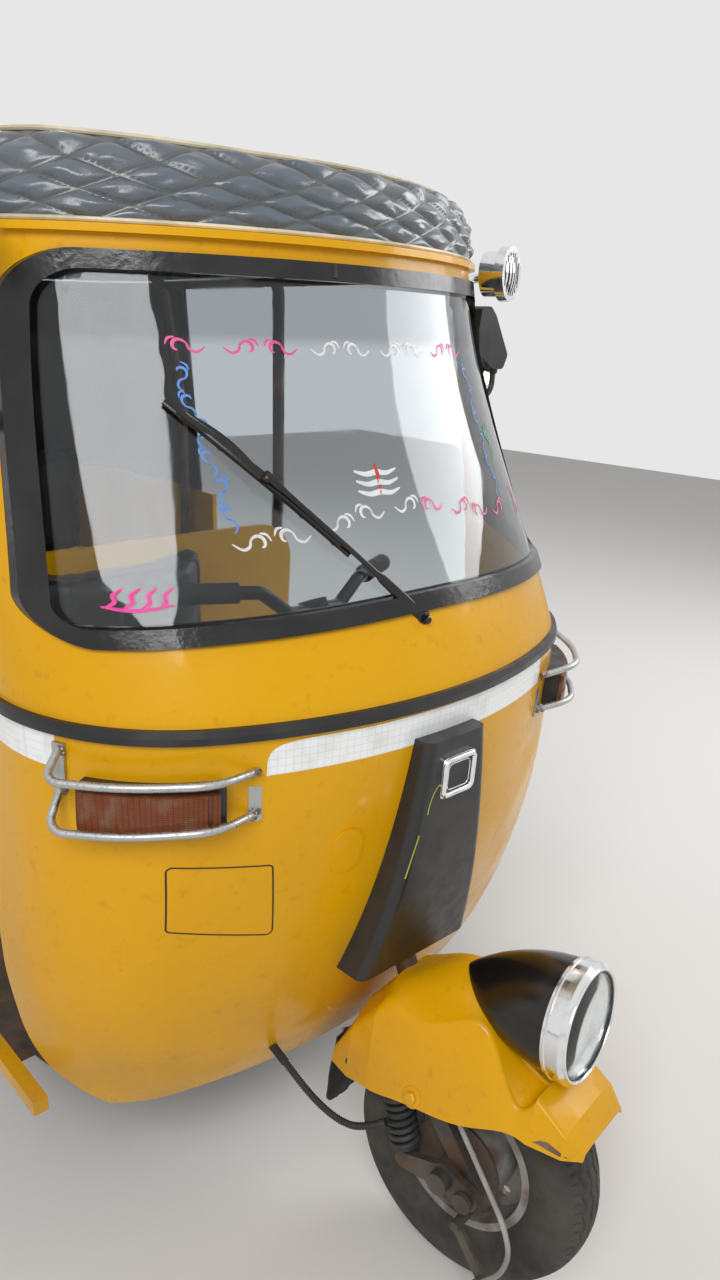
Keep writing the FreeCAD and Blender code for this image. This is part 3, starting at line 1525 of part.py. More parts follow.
def report_cord(name, points, radius):
    path = route(points)
    radii = [round(edge.Curve.Radius) for edge in path.Edges if hasattr(edge.Curve, "Radius")]
    share = nodes[name].Volume / (math.pi * radius**2 * path.Length)
    print(name, "arc radii", radii, "volume over section times length", round(share, 3))


report_cord("brake_cable", [ahead(*point) for point in cable_route], cable_radius)
report_cord("brake_hose", hose_points(), hose_radius)

os.makedirs("parts", exist_ok=True)
for name, shape in nodes.items():
    solids = Part.Compound(shape.Solids)
    solids.exportStep("parts/" + name + ".step")
    print(name, len(shape.Solids), shape.isValid(), round(shape.Volume / 1000), "cm3")
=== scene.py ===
import bpy
import bmesh
import json
import math
import random
from bisect import bisect
from mathutils import Matrix, Vector, noise
from mathutils.bvhtree import BVHTree


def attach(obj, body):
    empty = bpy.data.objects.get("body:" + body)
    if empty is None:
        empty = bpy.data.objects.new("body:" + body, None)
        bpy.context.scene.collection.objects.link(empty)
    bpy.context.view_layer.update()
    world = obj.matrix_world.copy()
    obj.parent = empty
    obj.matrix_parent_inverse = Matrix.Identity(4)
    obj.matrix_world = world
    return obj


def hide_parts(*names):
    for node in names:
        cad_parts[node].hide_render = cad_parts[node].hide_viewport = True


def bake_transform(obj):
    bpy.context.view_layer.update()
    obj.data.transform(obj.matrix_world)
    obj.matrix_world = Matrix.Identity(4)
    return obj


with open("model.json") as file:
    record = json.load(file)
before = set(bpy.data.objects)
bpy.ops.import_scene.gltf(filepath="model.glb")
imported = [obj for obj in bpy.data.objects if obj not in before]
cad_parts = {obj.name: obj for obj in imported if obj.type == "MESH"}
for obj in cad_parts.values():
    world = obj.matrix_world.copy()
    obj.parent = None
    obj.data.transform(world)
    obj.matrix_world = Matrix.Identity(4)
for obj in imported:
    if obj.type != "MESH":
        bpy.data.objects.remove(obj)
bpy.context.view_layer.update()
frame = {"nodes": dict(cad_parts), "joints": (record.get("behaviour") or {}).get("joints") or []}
nodes = frame["nodes"]
frontAxleY = -1.110

# camera, floor and light

cameraValues = {"place": (-0.9613, -1.8419, 1.4190), "yaw": 42.914, "pitch": -17.943, "roll": 2.085,
                "lens": 26.92}


def makeCamera():
    yaw, pitch, roll = [math.radians(cameraValues[k]) for k in ("yaw", "pitch", "roll")]
    forward = Vector((math.sin(yaw) * math.cos(pitch), math.cos(yaw) * math.cos(pitch),
                      math.sin(pitch)))
    level = Vector((math.cos(yaw), -math.sin(yaw), 0))
    rise = level.cross(forward)
    right = level * math.cos(roll) + rise * math.sin(roll)
    up = rise * math.cos(roll) - level * math.sin(roll)
    camera = bpy.data.objects.new("camera", bpy.data.cameras.new("camera"))
    camera.data.lens = cameraValues["lens"]
    camera.data.clip_end = 60
    turn = Matrix((right, up, -forward)).transposed().to_4x4()
    camera.matrix_world = Matrix.Translation(cameraValues["place"]) @ turn
    bpy.context.scene.collection.objects.link(camera)
    bpy.context.scene.camera = camera


studioValues = {"floorColour": (0.80, 0.79, 0.77, 1), "skyStrength": 0.46, "keyPower": 185,
                "sidePower": 70, "backPower": 100}


def makeLamp(name, place, target, size, power):
    lamp = bpy.data.lights.new(name, "AREA")
    lamp.shape = "RECTANGLE"
    lamp.size, lamp.size_y = size
    lamp.energy = power
    body = bpy.data.objects.new(name, lamp)
    body.location = place
    body.rotation_euler = (Vector(target) - Vector(place)).to_track_quat("-Z", "Y").to_euler()
    bpy.context.scene.collection.objects.link(body)


def makeStudio():
    mesh = bpy.data.meshes.new("floor")
    mesh.from_pydata([(-9, -9, 0), (9, -9, 0), (9, 9, 0), (-9, 9, 0)], [], [(0, 1, 2, 3)])
    floor = bpy.data.objects.new("floor", mesh)
    bpy.context.scene.collection.objects.link(floor)
    ground = bpy.data.materials.new("pale floor")
    ground.use_nodes = True
    shader = ground.node_tree.nodes["Principled BSDF"]
    shader.inputs["Base Color"].default_value = studioValues["floorColour"]
    shader.inputs["Roughness"].default_value = 0.9
    mesh.materials.append(ground)
    world = bpy.data.worlds.new("sky")
    world.use_nodes = True
    bpy.context.scene.world = world
    tree = world.node_tree
    tree.nodes.clear()
    path = tree.nodes.new("ShaderNodeLightPath")
    rays = path.outputs["Is Camera Ray"]
    for kind in ("Is Glossy Ray", "Is Transmission Ray"):  # the backdrop shows in metal and glass too
        either = tree.nodes.new("ShaderNodeMath")
        either.operation = "MAXIMUM"
        tree.links.new(rays, either.inputs[0])
        tree.links.new(path.outputs[kind], either.inputs[1])
        rays = either.outputs[0]
    light = tree.nodes.new("ShaderNodeBackground")
    light.inputs[1].default_value = studioValues["skyStrength"]
    white = tree.nodes.new("ShaderNodeBackground")
    mix = tree.nodes.new("ShaderNodeMixShader")
    out = tree.nodes.new("ShaderNodeOutputWorld")
    tree.links.new(rays, mix.inputs[0])
    tree.links.new(light.outputs[0], mix.inputs[1])
    tree.links.new(white.outputs[0], mix.inputs[2])
    tree.links.new(mix.outputs[0], out.inputs[0])
    makeLamp("key", (-3.4, -3.6, 4.4), (0, -0.6, 0.8), (3.2, 2.4), studioValues["keyPower"])
    makeLamp("side", (3.8, -1.8, 2.8), (0, -0.4, 0.8), (2.6, 2.0), studioValues["sidePower"])
    makeLamp("back", (0.5, 4.2, 3.6), (0, 0.2, 0.9), (3.0, 2.0), studioValues["backPower"])
    bpy.context.scene.view_settings.view_transform = "Standard"


makeCamera()
makeStudio()
print("camera and light are set")

# finishes


def newFinish(name, colour, rough, **sockets):
    finish = bpy.data.materials.new(name)
    finish.use_nodes = True
    shader = finish.node_tree.nodes["Principled BSDF"]
    shader.inputs["Base Color"].default_value = (*colour, 1)
    shader.inputs["Roughness"].default_value = rough
    for socket, value in sockets.items():
        shader.inputs[socket.replace("_", " ")].default_value = value
    return finish


def addNode(finish, kind, **values):
    node = finish.node_tree.nodes.new(kind)
    for name, value in values.items():
        if hasattr(node, name):
            setattr(node, name, value)
        else:
            node.inputs[name.replace("_", " ")].default_value = value
    return node


def join(finish, source, target):
    finish.node_tree.links.new(source, target)


def placed(finish, stretch=(1, 1, 1), turn=(0, 0, 0)):
    where = addNode(finish, "ShaderNodeTexCoord")
    mapping = addNode(finish, "ShaderNodeMapping")
    mapping.inputs["Scale"].default_value = stretch
    mapping.inputs["Rotation"].default_value = [math.radians(a) for a in turn]
    join(finish, where.outputs["Object"], mapping.inputs["Vector"])
    return mapping.outputs["Vector"]


def clouds(finish, scale, detail=4, stretch=(1, 1, 1), low=0.4, high=0.65):
    # soft patches, 0 below low and 1 above high
    cloud = addNode(finish, "ShaderNodeTexNoise", Scale=scale, Detail=detail)
    join(finish, placed(finish, stretch), cloud.inputs["Vector"])
    ramp = addNode(finish, "ShaderNodeMapRange")
    ramp.inputs["From Min"].default_value = low
    ramp.inputs["From Max"].default_value = high
    join(finish, cloud.outputs["Fac"], ramp.inputs["Value"])
    return ramp.outputs["Result"]


def pebbles(finish, scale, stretch=(1, 1, 1)):
    cells = addNode(finish, "ShaderNodeTexVoronoi", Scale=scale)
    join(finish, placed(finish, stretch), cells.inputs["Vector"])
    return cells.outputs["Distance"]


def heightFade(finish, low, high, axis="Z"):
    # 1 at the low place and 0 at the high one
    where = addNode(finish, "ShaderNodeTexCoord")
    split = addNode(finish, "ShaderNodeSeparateXYZ")
    join(finish, where.outputs["Object"], split.inputs[0])
    ramp = addNode(finish, "ShaderNodeMapRange")
    ramp.inputs["From Min"].default_value = high
    ramp.inputs["From Max"].default_value = low
    join(finish, split.outputs[axis], ramp.inputs["Value"])
    return ramp.outputs["Result"]


def times(finish, a, b):
    product = addNode(finish, "ShaderNodeMath", operation="MULTIPLY")
    join(finish, a, product.inputs[0])
    if isinstance(b, float):
        product.inputs[1].default_value = b
    else:
        join(finish, b, product.inputs[1])
    return product.outputs[0]


def tint(finish, amount, colour, share=None):
    if share is not None:
        amount = times(finish, amount, share)
    shader = finish.node_tree.nodes["Principled BSDF"]
    base = shader.inputs["Base Color"]
    mix = addNode(finish, "ShaderNodeMix", data_type="RGBA")
    if base.is_linked:
        join(finish, base.links[0].from_socket, mix.inputs[6])
    else:
        mix.inputs[6].default_value = base.default_value
    mix.inputs[7].default_value = (*colour, 1)
    join(finish, amount, mix.inputs[0])
    join(finish, mix.outputs[2], base)


def roughen(finish, amount, low, high):
    ramp = addNode(finish, "ShaderNodeMapRange")
    ramp.inputs["To Min"].default_value = low
    ramp.inputs["To Max"].default_value = high
    join(finish, amount, ramp.inputs["Value"])
    join(finish, ramp.outputs["Result"],
         finish.node_tree.nodes["Principled BSDF"].inputs["Roughness"])


def emboss(finish, height, depth, strength=1.0):
    bump = addNode(finish, "ShaderNodeBump", Strength=strength, Distance=depth)
    normal = finish.node_tree.nodes["Principled BSDF"].inputs["Normal"]
    if normal.is_linked:
        join(finish, normal.links[0].from_socket, bump.inputs["Normal"])
    join(finish, height, bump.inputs["Height"])
    join(finish, bump.outputs["Normal"], normal)


def grain(finish, scale, detail, depth, strength):
    emboss(finish, clouds(finish, scale, detail, low=0.2, high=0.8), depth, strength)


roadDust = (0.30, 0.235, 0.165)


def cabPaint(name, dustTop):
    finish = newFinish(name, (0.76, 0.385, 0.0005), 0.34, Coat_Weight=0.18, Coat_Roughness=0.06,
                       Specular_IOR_Level=0.2)
    tint(finish, clouds(finish, 2.2, 3), (0.68, 0.310, 0.0005), 0.35)
    tint(finish, clouds(finish, 55, 8, low=0.60, high=0.72), (0.34, 0.15, 0.006), 0.22)
    dirt = times(finish, heightFade(finish, 0.2, dustTop), clouds(finish, 7, 8, low=0.3, high=0.75))
    tint(finish, dirt, (0.30, 0.19, 0.07), 0.5)
    roughen(finish, clouds(finish, 9, 6), 0.2, 0.42)
    grain(finish, 140, 2, 0.00025, 0.25)
    grain(finish, 3.2, 2, 0.004, 0.35)
    return finish


def rubberFinish(name, colour, rough, grainScale=260, depth=0.0003):
    finish = newFinish(name, colour, rough)
    tint(finish, clouds(finish, 14, 6), tuple(c * 2.2 + 0.01 for c in colour), 0.5)
    roughen(finish, clouds(finish, 20, 6), rough * 0.75, min(1.0, rough * 1.3))
    grain(finish, grainScale, 5, depth, 0.5)
    return finish


def tyreFinish():
    finish = newFinish("tyre rubber", (0.016, 0.017, 0.017), 0.82)
    tint(finish, clouds(finish, 9, 8, low=0.35, high=0.7), (0.10, 0.088, 0.070), 0.55)
    tint(finish, pebbles(finish, 60), (0.13, 0.11, 0.09), 0.16)
    roughen(finish, clouds(finish, 26, 6), 0.65, 0.95)
    grain(finish, 420, 4, 0.0003, 0.5)
    return finish


def vinylFinish(name, colour, rough, dust=0.25):
    finish = newFinish(name, colour, rough, Specular_IOR_Level=0.55)
    tint(finish, clouds(finish, 5, 7, low=0.38, high=0.7), (0.12, 0.108, 0.09), dust)
    roughen(finish, clouds(finish, 18, 5), rough * 0.8, rough * 1.35)
    emboss(finish, pebbles(finish, 520), 0.0004, 0.5)
    grain(finish, 38, 4, 0.0012, 0.35)
    return finish


def roofVinylWithPaintedSheen():
    # the base colour is a light blue-grey rather than near black: partly dust, partly painted reflection of
    # a bright sky on the glossy black vinyl
    finish = vinylFinish("roof vinyl with painted sheen", (0.105, 0.130, 0.160), 0.30, 0.2)
    shader = finish.node_tree.nodes["Principled BSDF"]
    shader.inputs["Coat Weight"].default_value = 0.45
    shader.inputs["Coat Roughness"].default_value = 0.2
    # dust in the seam valleys; it also takes the seams out of the painted sky reflection of the base
    # colour, so they stay darker
    valley = addNode(finish, "ShaderNodeAttribute", attribute_name="valley")
    tint(finish, valley.outputs["Fac"], (0.085, 0.083, 0.066), 0.7)
    return finish


def clearVinyl():
    finish = newFinish("clear vinyl", (0.62, 0.64, 0.62), 0.08, Transmission_Weight=1.0, IOR=1.1)
    tint(finish, clouds(finish, 9, 6), (0.42, 0.42, 0.38), 0.5)
    roughen(finish, clouds(finish, 6, 7), 0.05, 0.3)
    grain(finish, 12, 3, 0.003, 0.4)
    return finish


def greasyMetal(name, colour, rough, metal, dustTop=0.5):
    finish = newFinish(name, colour, rough, Metallic=metal)
    tint(finish, clouds(finish, 24, 8, low=0.45, high=0.62), (0.13, 0.055, 0.022), 0.7)
    dirt = times(finish, heightFade(finish, 0.1, dustTop), clouds(finish, 16, 8, low=0.3, high=0.7))
    tint(finish, dirt, (0.20, 0.17, 0.135), 0.7)
    roughen(finish, clouds(finish, 30, 6), rough, 0.9)
    grain(finish, 90, 8, 0.0009, 0.6)
    return finish


def brightMetal(name, colour, rough, stretch=(1, 1, 1), metal=1.0):
    finish = newFinish(name, colour, rough, Metallic=metal)
    tint(finish, clouds(finish, 30, 8, low=0.52, high=0.7), tuple(c * 0.55 for c in colour), 0.4)
    roughen(finish, clouds(finish, 45, 6, stretch), rough, rough * 2 + 0.12)
    emboss(finish, clouds(finish, 220, 4, stretch, 0.2, 0.8), 0.0001, 0.4)
    return finish


def mouldedFinish(name, colour, rough):
    finish = newFinish(name, colour, rough)
    tint(finish, clouds(finish, 12, 6, low=0.4, high=0.7), tuple(c * 1.6 + 0.012 for c in colour), 0.35)
    roughen(finish, clouds(finish, 40, 5), rough * 0.8, rough * 1.25)
    emboss(finish, pebbles(finish, 900), 0.00018, 0.4)
    return finish


def lampPlastic(name, colour, pitch):
    finish = newFinish(name, colour, 0.32, Coat_Weight=0.15, Specular_IOR_Level=0.35)
    waves = addNode(finish, "ShaderNodeTexBrick", offset=0.0, Scale=pitch)
    waves.inputs["Mortar Size"].default_value = 0.07
    waves.inputs["Mortar Smooth"].default_value = 1.0
    waves.inputs["Brick Width"].default_value = 0.5
    join(finish, placed(finish, (1, 1, 1), (90, 0, 0)), waves.inputs["Vector"])
    tint(finish, waves.outputs["Fac"], tuple(c * 0.25 for c in colour), 0.7)
    emboss(finish, waves.outputs["Fac"], 0.0012, 0.8)
    tint(finish, clouds(finish, 40, 6, low=0.5, high=0.7), roadDust, 0.3)
    return finish


def screenGlass():
    finish = newFinish("windscreen glass", (0.55, 0.60, 0.64), 0.02, Transmission_Weight=1.0, IOR=1.45)
    tint(finish, heightFade(finish, 1.408, 1.392), (0.10, 0.11, 0.13), 0.40)  # shade band along the top
    roughen(finish, clouds(finish, 14, 8, low=0.45, high=0.8), 0.015, 0.09)
    return finish


def clearGlass():
    finish = newFinish("headlamp glass", (0.93, 0.96, 0.96), 0.03, Transmission_Weight=1.0, IOR=1.45)
    roughen(finish, clouds(finish, 30, 6), 0.01, 0.06)
    tint(finish, clouds(finish, 60, 7, low=0.55, high=0.8), (0.60, 0.58, 0.52), 0.2)
    return finish


def tapeFinish():
    finish = newFinish("reflective tape", (0.93, 0.95, 0.95), 0.32, Coat_Weight=0.6)
    comb = addNode(finish, "ShaderNodeTexVoronoi", Scale=95, feature="DISTANCE_TO_EDGE", Randomness=0.0)
    join(finish, placed(finish, (1, 0.02, 1)), comb.inputs["Vector"])
    edge = addNode(finish, "ShaderNodeMapRange")
    edge.inputs["From Min"].default_value = 0.10
    edge.inputs["From Max"].default_value = 0.02
    join(finish, comb.outputs["Distance"], edge.inputs["Value"])
    tint(finish, edge.outputs["Result"], (0.55, 0.57, 0.60), 0.35)
    tint(finish, clouds(finish, 24, 7, low=0.5, high=0.75), (0.50, 0.44, 0.36), 0.35)
    emboss(finish, comb.outputs["Distance"], 0.0002, 0.3)
    return finish


def corroded(name, colour, rough):
    finish = newFinish(name, colour, rough, Metallic=0.35)
    tint(finish, clouds(finish, 18, 9, low=0.42, high=0.6), (0.17, 0.075, 0.03))
    tint(finish, clouds(finish, 6, 5), (0.22, 0.18, 0.14), 0.5)
    roughen(finish, clouds(finish, 30, 5), 0.5, 0.95)
    grain(finish, 120, 8, 0.0012, 0.7)
    return finish


finishes = {
    "yellow": cabPaint("cab paint", 0.62),
    "fender": cabPaint("fender paint", 0.44),
    "seal": rubberFinish("windscreen seal rubber", (0.007, 0.006, 0.006), 0.20, 90, 0.0006),
    "trim": rubberFinish("trim rubber", (0.013, 0.013, 0.014), 0.35),
    "rubber": rubberFinish("dull rubber", (0.02, 0.02, 0.02), 0.7),
    "tyre": tyreFinish(),
    "roofVinyl": roofVinylWithPaintedSheen(),
    "curtainVinyl": vinylFinish("curtain vinyl", (0.02, 0.02, 0.022), 0.5, 0.3),
    "seatVinyl": vinylFinish("seat vinyl", (0.035, 0.033, 0.035), 0.42, 0.15),
    "piping": rubberFinish("cream piping", (0.52, 0.46, 0.32), 0.5),
    "cowl": mouldedFinish("cowl paint", (0.017, 0.0165, 0.017), 0.36),
    "black": mouldedFinish("black plastic", (0.016, 0.016, 0.017), 0.38),
    "blackPaint": mouldedFinish("black enamel", (0.008, 0.006, 0.005), 0.16),
    "frameBlack": greasyMetal("chassis black", (0.03, 0.03, 0.03), 0.55, 0.1, 0.45),
    "grey": greasyMetal("fork metal", (0.07, 0.068, 0.065), 0.5, 0.6, 0.42),
    "rim": greasyMetal("rim paint", (0.34, 0.34, 0.33), 0.45, 0.3, 0.5),
    "alloy": greasyMetal("engine alloy", (0.36, 0.36, 0.36), 0.5, 0.7, 0.6),
    "rust": corroded("silencer metal", (0.16, 0.15, 0.14), 0.6),
    "chrome": brightMetal("chrome plate", (0.86, 0.87, 0.88), 0.06),
    "steel": brightMetal("guard steel", (0.50, 0.50, 0.49), 0.26, (6, 6, 0.6)),
    "mirrorGlass": brightMetal("mirror silver", (0.85, 0.86, 0.87), 0.02),
    "amber": lampPlastic("amber lens", (0.235, 0.052, 0.006), 95),
    "red": lampPlastic("red lens", (0.42, 0.012, 0.01), 42),
    "glass": screenGlass(),
    "lampGlass": clearGlass(), "clearVinyl": clearVinyl(),
    "tape": tapeFinish(),
    "cable": rubberFinish("grey cable sleeve", (0.24, 0.24, 0.235), 0.6),
    "silverBowl": brightMetal("reflector silver", (0.90, 0.91, 0.92), 0.10),
    "brass": brightMetal("hose fitting", (0.42, 0.36, 0.24), 0.3),
    "flapRubber": rubberFinish("flap rubber", (0.012, 0.012, 0.012), 0.6, 180, 0.0005),
    "primer": corroded("bared steel", (0.24, 0.20, 0.16), 0.7),
    "weld": greasyMetal("weld metal", (0.34, 0.31, 0.27), 0.4, 0.8),
    "pinLine": rubberFinish("pin line paint", (0.34, 0.36, 0.03), 0.4),
    "lensDark": rubberFinish("lens rib", (0.10, 0.022, 0.004), 0.3),
}

nodeFinish = {
    "yellow": "apron windscreen_surround roof_visor rear_tub partition engine_lid side_sills",
    "fender": "front_fender", "seal": "windscreen_seal", "trim": "belt_strip",
    "rubber": "mudflap handlebar_grips brake_hose", "tyre": "front_tyre rear_left_tyre rear_right_tyre",
    "roofVinyl": "canopy", "curtainVinyl": "hood_rear",
    "seatVinyl": "driver_seat passenger_seat passenger_backrest", "cowl": "column_cowl",
    "black": "indicator_housings mirrors dashboard", "blackPaint": "headlamp_shell wiper handlebar",
    "frameBlack": "floor_pan chassis steering_head seat_deck lid_hinges rear_bumper hood_frame "
                  "rear_springs",
    "grey": "rear_arms drive_shafts steering_fork fork_link front_shock",
    "rim": "front_rim rear_left_rim rear_right_rim", "alloy": "engine", "rust": "silencer",
    "chrome": "cowl_badge roof_horns headlamp_ring", "steel": "indicator_guards",
    "amber": "indicator_lenses", "red": "tail_lamps", "glass": "windscreen_glass",
    "lampGlass": "headlamp_lens", "cable": "brake_cable",
}


def dressNodes():
    for finish, names in nodeFinish.items():
        for name in names.split():
            mesh = nodes[name].data
            mesh.materials.clear()
            mesh.materials.append(finishes[finish])


dressNodes()
print("CAD nodes have their finishes")

# shared making of pieces


def newPiece(name, mesh, finish, body="chassis_body", smooth=40):
    # mesh may also be a pair of points and faces
    if isinstance(mesh, tuple):
        mesh = meshOf(name, *mesh)
    piece = bpy.data.objects.new(name, mesh)
    bpy.context.scene.collection.objects.link(piece)
    mesh.materials.append(finishes[finish] if isinstance(finish, str) else finish)
    for face in mesh.polygons:
        face.use_smooth = True
    if smooth < 180:
        mesh.set_sharp_from_angle(angle=math.radians(smooth))
    if body:
        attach(piece, body)
    return piece


def meshOf(name, points, faces):
    mesh = bpy.data.meshes.new(name)
    mesh.from_pydata(points, [], faces)
    mesh.validate()
    shape = bmesh.new()
    shape.from_mesh(mesh)
    bmesh.ops.recalc_face_normals(shape, faces=shape.faces)
    shape.to_mesh(mesh)
    shape.free()
    return mesh


def skinOf(*names):
    shape = bmesh.new()
    for name in names:
        shape.from_mesh(nodes[name].data)
    tree = BVHTree.FromBMesh(shape)
    shape.free()
    return tree


def frontOn(skin, x, z, lift):
    # the place that stands off the skin, seen from the vehicle's front
    place, normal, _, _ = skin.ray_cast(Vector((x, -3, z)), Vector((0, 1, 0)))
    if place is None:
        return None
    if normal.y > 0:
        normal = -normal
    return place + normal * lift


def smoothRun(points, steps):
    # points along a smooth curve through the given ones
    run = []
    last = len(points) - 1
    for i in range(last):
        a, b, c, d = [Vector(points[min(max(i + k, 0), last)]) for k in (-1, 0, 1, 2)]
        for k in range(steps):
            t = k / steps
            run.append(0.5 * ((2 * b) + (c - a) * t + (2 * a - 5 * b + 4 * c - d) * t * t
                              + (3 * b - a - 3 * c + d) * t ** 3))
    run.append(Vector(points[-1]))
    return run


def ringFaces(count, sides, closed=False, caps=True):
    # faces between rings of points, with the two ends closed
    faces = []
    for i in range(count if closed else count - 1):
        j = (i + 1) % count
        for k in range(sides):
            m = (k + 1) % sides
            faces.append((i * sides + k, i * sides + m, j * sides + m, j * sides + k))
    if caps and not closed:
        faces += [tuple(range(sides))[::-1], tuple((count - 1) * sides + k for k in range(sides))]
    return faces


def gridFaces(rows, across, start=0):
    # faces of a grid of rows of points, each row with so many points across
    return [(a, a + 1, a + across + 1, a + across) for j in range(rows - 1)
            for a in range(start + j * across, start + j * across + across - 1)]


def sweep(path, radii, sides=10, closed=False):
    # a round tube along the path, its radius given for each point
    points = []
    count = len(path)
    normal = None
    for i, place in enumerate(path):
        ahead = path[(i + 1) % count] if closed else path[min(i + 1, count - 1)]
        behind = path[i - 1] if closed else path[max(i - 1, 0)]
        along = (ahead - behind).normalized()
        if normal is None:
            normal = along.orthogonal().normalized()
        normal = (normal - along * normal.dot(along)).normalized()
        beside = along.cross(normal)
        radius = radii[i] if isinstance(radii, list) else radii
        for k in range(sides):
            angle = 2 * math.pi * k / sides
            points.append(place + (normal * math.cos(angle) + beside * math.sin(angle)) * radius)
    return points, ringFaces(count, sides, closed)


def gather(parts):
    points, faces = [], []
    for morePoints, moreFaces in parts:
        start = len(points)
        points += morePoints
        faces += [tuple(v + start for v in face) for face in moreFaces]
    return points, faces


# decals on the cab: tape, plate outline, windscreen ornaments


def onSkin(points, faces):
    # keeps the faces whose points all met the skin
    faces = [quad for quad in faces if all(points[v] is not None for v in quad)]
    return [p if p is not None else Vector((0, -1, 1)) for p in points], faces


def skinBand(skin, lower, upper, steps, lift, rows=3):
    # a band between two lines of (x, z) laid on the skin
    low = smoothRun([(x, z, 0) for x, z in lower], steps)
    high = smoothRun([(x, z, 0) for x, z in upper], steps)
    points = []
    for a, b in zip(low, high):
        for r in range(rows + 1):
            at = a.lerp(b, r / rows)
            points.append(frontOn(skin, at.x, at.y, lift))
    return onSkin(points, gridFaces(len(low), rows + 1))


def skinStroke(skin, line, width, lift, taper=True):
    # a brush stroke along (x, z) points, thin at its ends
    path = smoothRun([(x, z, 0) for x, z in line], 5)
    points = []
    count = len(path)
    for i, at in enumerate(path):
        along = (path[min(i + 1, count - 1)] - path[max(i - 1, 0)]).normalized()
        beside = Vector((-along.y, along.x, 0))
        share = i / (count - 1)
        half = width / 2 * (math.sin(math.pi * (0.12 + 0.80 * share)) if taper else 1)
        for side in (-1, 1):
            place = at + beside * half * side
            points.append(frontOn(skin, place.x, place.y, lift))
    return onSkin(points, gridFaces(count, 2))


tapeValues = {
    "lower": [(-0.282, 0.867), (-0.20, 0.867), (-0.10, 0.8675),
              (0.0, 0.868), (0.14, 0.868), (0.284, 0.868)],
    "upper": [(-0.282, 0.868), (-0.262, 0.909), (-0.12, 0.9135),
              (0.0, 0.915), (0.14, 0.915), (0.284, 0.914)],
    "sideStart": -0.765, "sideStep": 0.0115, "sideCount": 15,
    "sideHeights": (0.872, 0.887, 0.902, 0.917), "lift": 0.0004,
}
plateValues = {"corners": [(-0.397, 0.746), (-0.265, 0.726), (-0.251, 0.600), (-0.394, 0.641)],
               "corner": 0.007, "line": 0.0022, "lift": 0.0004}


def roundedLoop(corners, radius, steps=6):
    loop = []
    count = len(corners)
    for i in range(count):
        here = Vector((*corners[i], 0))
        back = (Vector((*corners[i - 1], 0)) - here).normalized()
        ahead = (Vector((*corners[(i + 1) % count], 0)) - here).normalized()
        half = back.angle(ahead) / 2
        trim = radius / math.tan(half)
        centre = here + (back + ahead).normalized() * radius / math.sin(half)
        start, end = here + back * trim - centre, here + ahead * trim - centre
        for k in range(steps + 1):
            loop.append(centre + start.lerp(end, k / steps).normalized() * radius)
    return loop


def densify(loop, gap):
    out = []
    for a, b in zip(loop, loop[1:] + loop[:1]):
        pieces = max(1, int((b - a).length / gap))
        out += [a.lerp(b, k / pieces) for k in range(pieces)]
    return out


def makeDecals():
    v = tapeValues
    skin = skinOf("apron")
    tape = skinBand(skin, v["lower"], v["upper"], 12, v["lift"], 4)
    newPiece("reflective_tape", tape, "tape")
    side = skinOf("apron", "windscreen_surround")
    points = []
    for i in range(v["sideCount"]):
        for z in v["sideHeights"]:
            start = Vector((-3, v["sideStart"] + i * v["sideStep"], z))
            place = side.ray_cast(start, Vector((1, 0, 0)))[0]
            points.append(place + Vector((-v["lift"], 0, 0)))
    strip = gridFaces(v["sideCount"], len(v["sideHeights"]))
    newPiece("side_tape", (points, strip), "tape")
    loop = densify(roundedLoop(plateValues["corners"], plateValues["corner"]), 0.008)
    half = plateValues["line"] / 2
    count = len(loop)
    points, faces = [], []
    for i, at in enumerate(loop):
        along = (loop[(i + 1) % count] - loop[i - 1]).normalized()
        beside = Vector((-along.y, along.x, 0)) * half
        for place in (at - beside, at + beside):
            points.append(frontOn(skin, place.x, place.y, plateValues["lift"]))
        j = (i + 1) % count
        faces.append((2 * i, 2 * i + 1, 2 * j + 1, 2 * j))
    newPiece("plate_outline", (points, faces), "blackPaint")


ornamentValues = {
    "lift": 0.0005,
    "white": (0.80, 0.80, 0.80), "pink": (0.80, 0.10, 0.30), "blue": (0.10, 0.28, 0.72),
    "magenta": (0.85, 0.02, 0.32), "green": (0.02, 0.45, 0.10), "red": (0.65, 0.02, 0.02),
}


def scroll(x, z, size, angle, flip=1):
    # one leafy scroll: a long stem that curls in, a leaf and a short bud
    lines = []
    stem = []
    for k in range(15):
        t = k / 14
        turn = t * 4.6
        radius = 0.5 * (1 - t * 0.80)
        stem.append((0.5 - radius * math.cos(turn) * (1 - 0.25 * t), flip * (radius * math.sin(turn))))
    lines.append((stem, 0.16))
    leaf = [(-0.75, 0.06 * flip), (-0.35, -0.20 * flip), (0.0, -0.06 * flip), (0.12, 0.30 * flip)]
    lines.append((leaf, 0.13))
    lines.append(([(0.55, 0.48 * flip), (0.85, 0.42 * flip), (1.02, 0.12 * flip)], 0.12))
    c, s = math.cos(angle), math.sin(angle)
    placedLines = []
    for line, width in lines:
        moved = [(x + size * (px * c - pz * s), z + size * (px * s + pz * c)) for px, pz in line]
        placedLines.append((moved, width * size))
    return placedLines


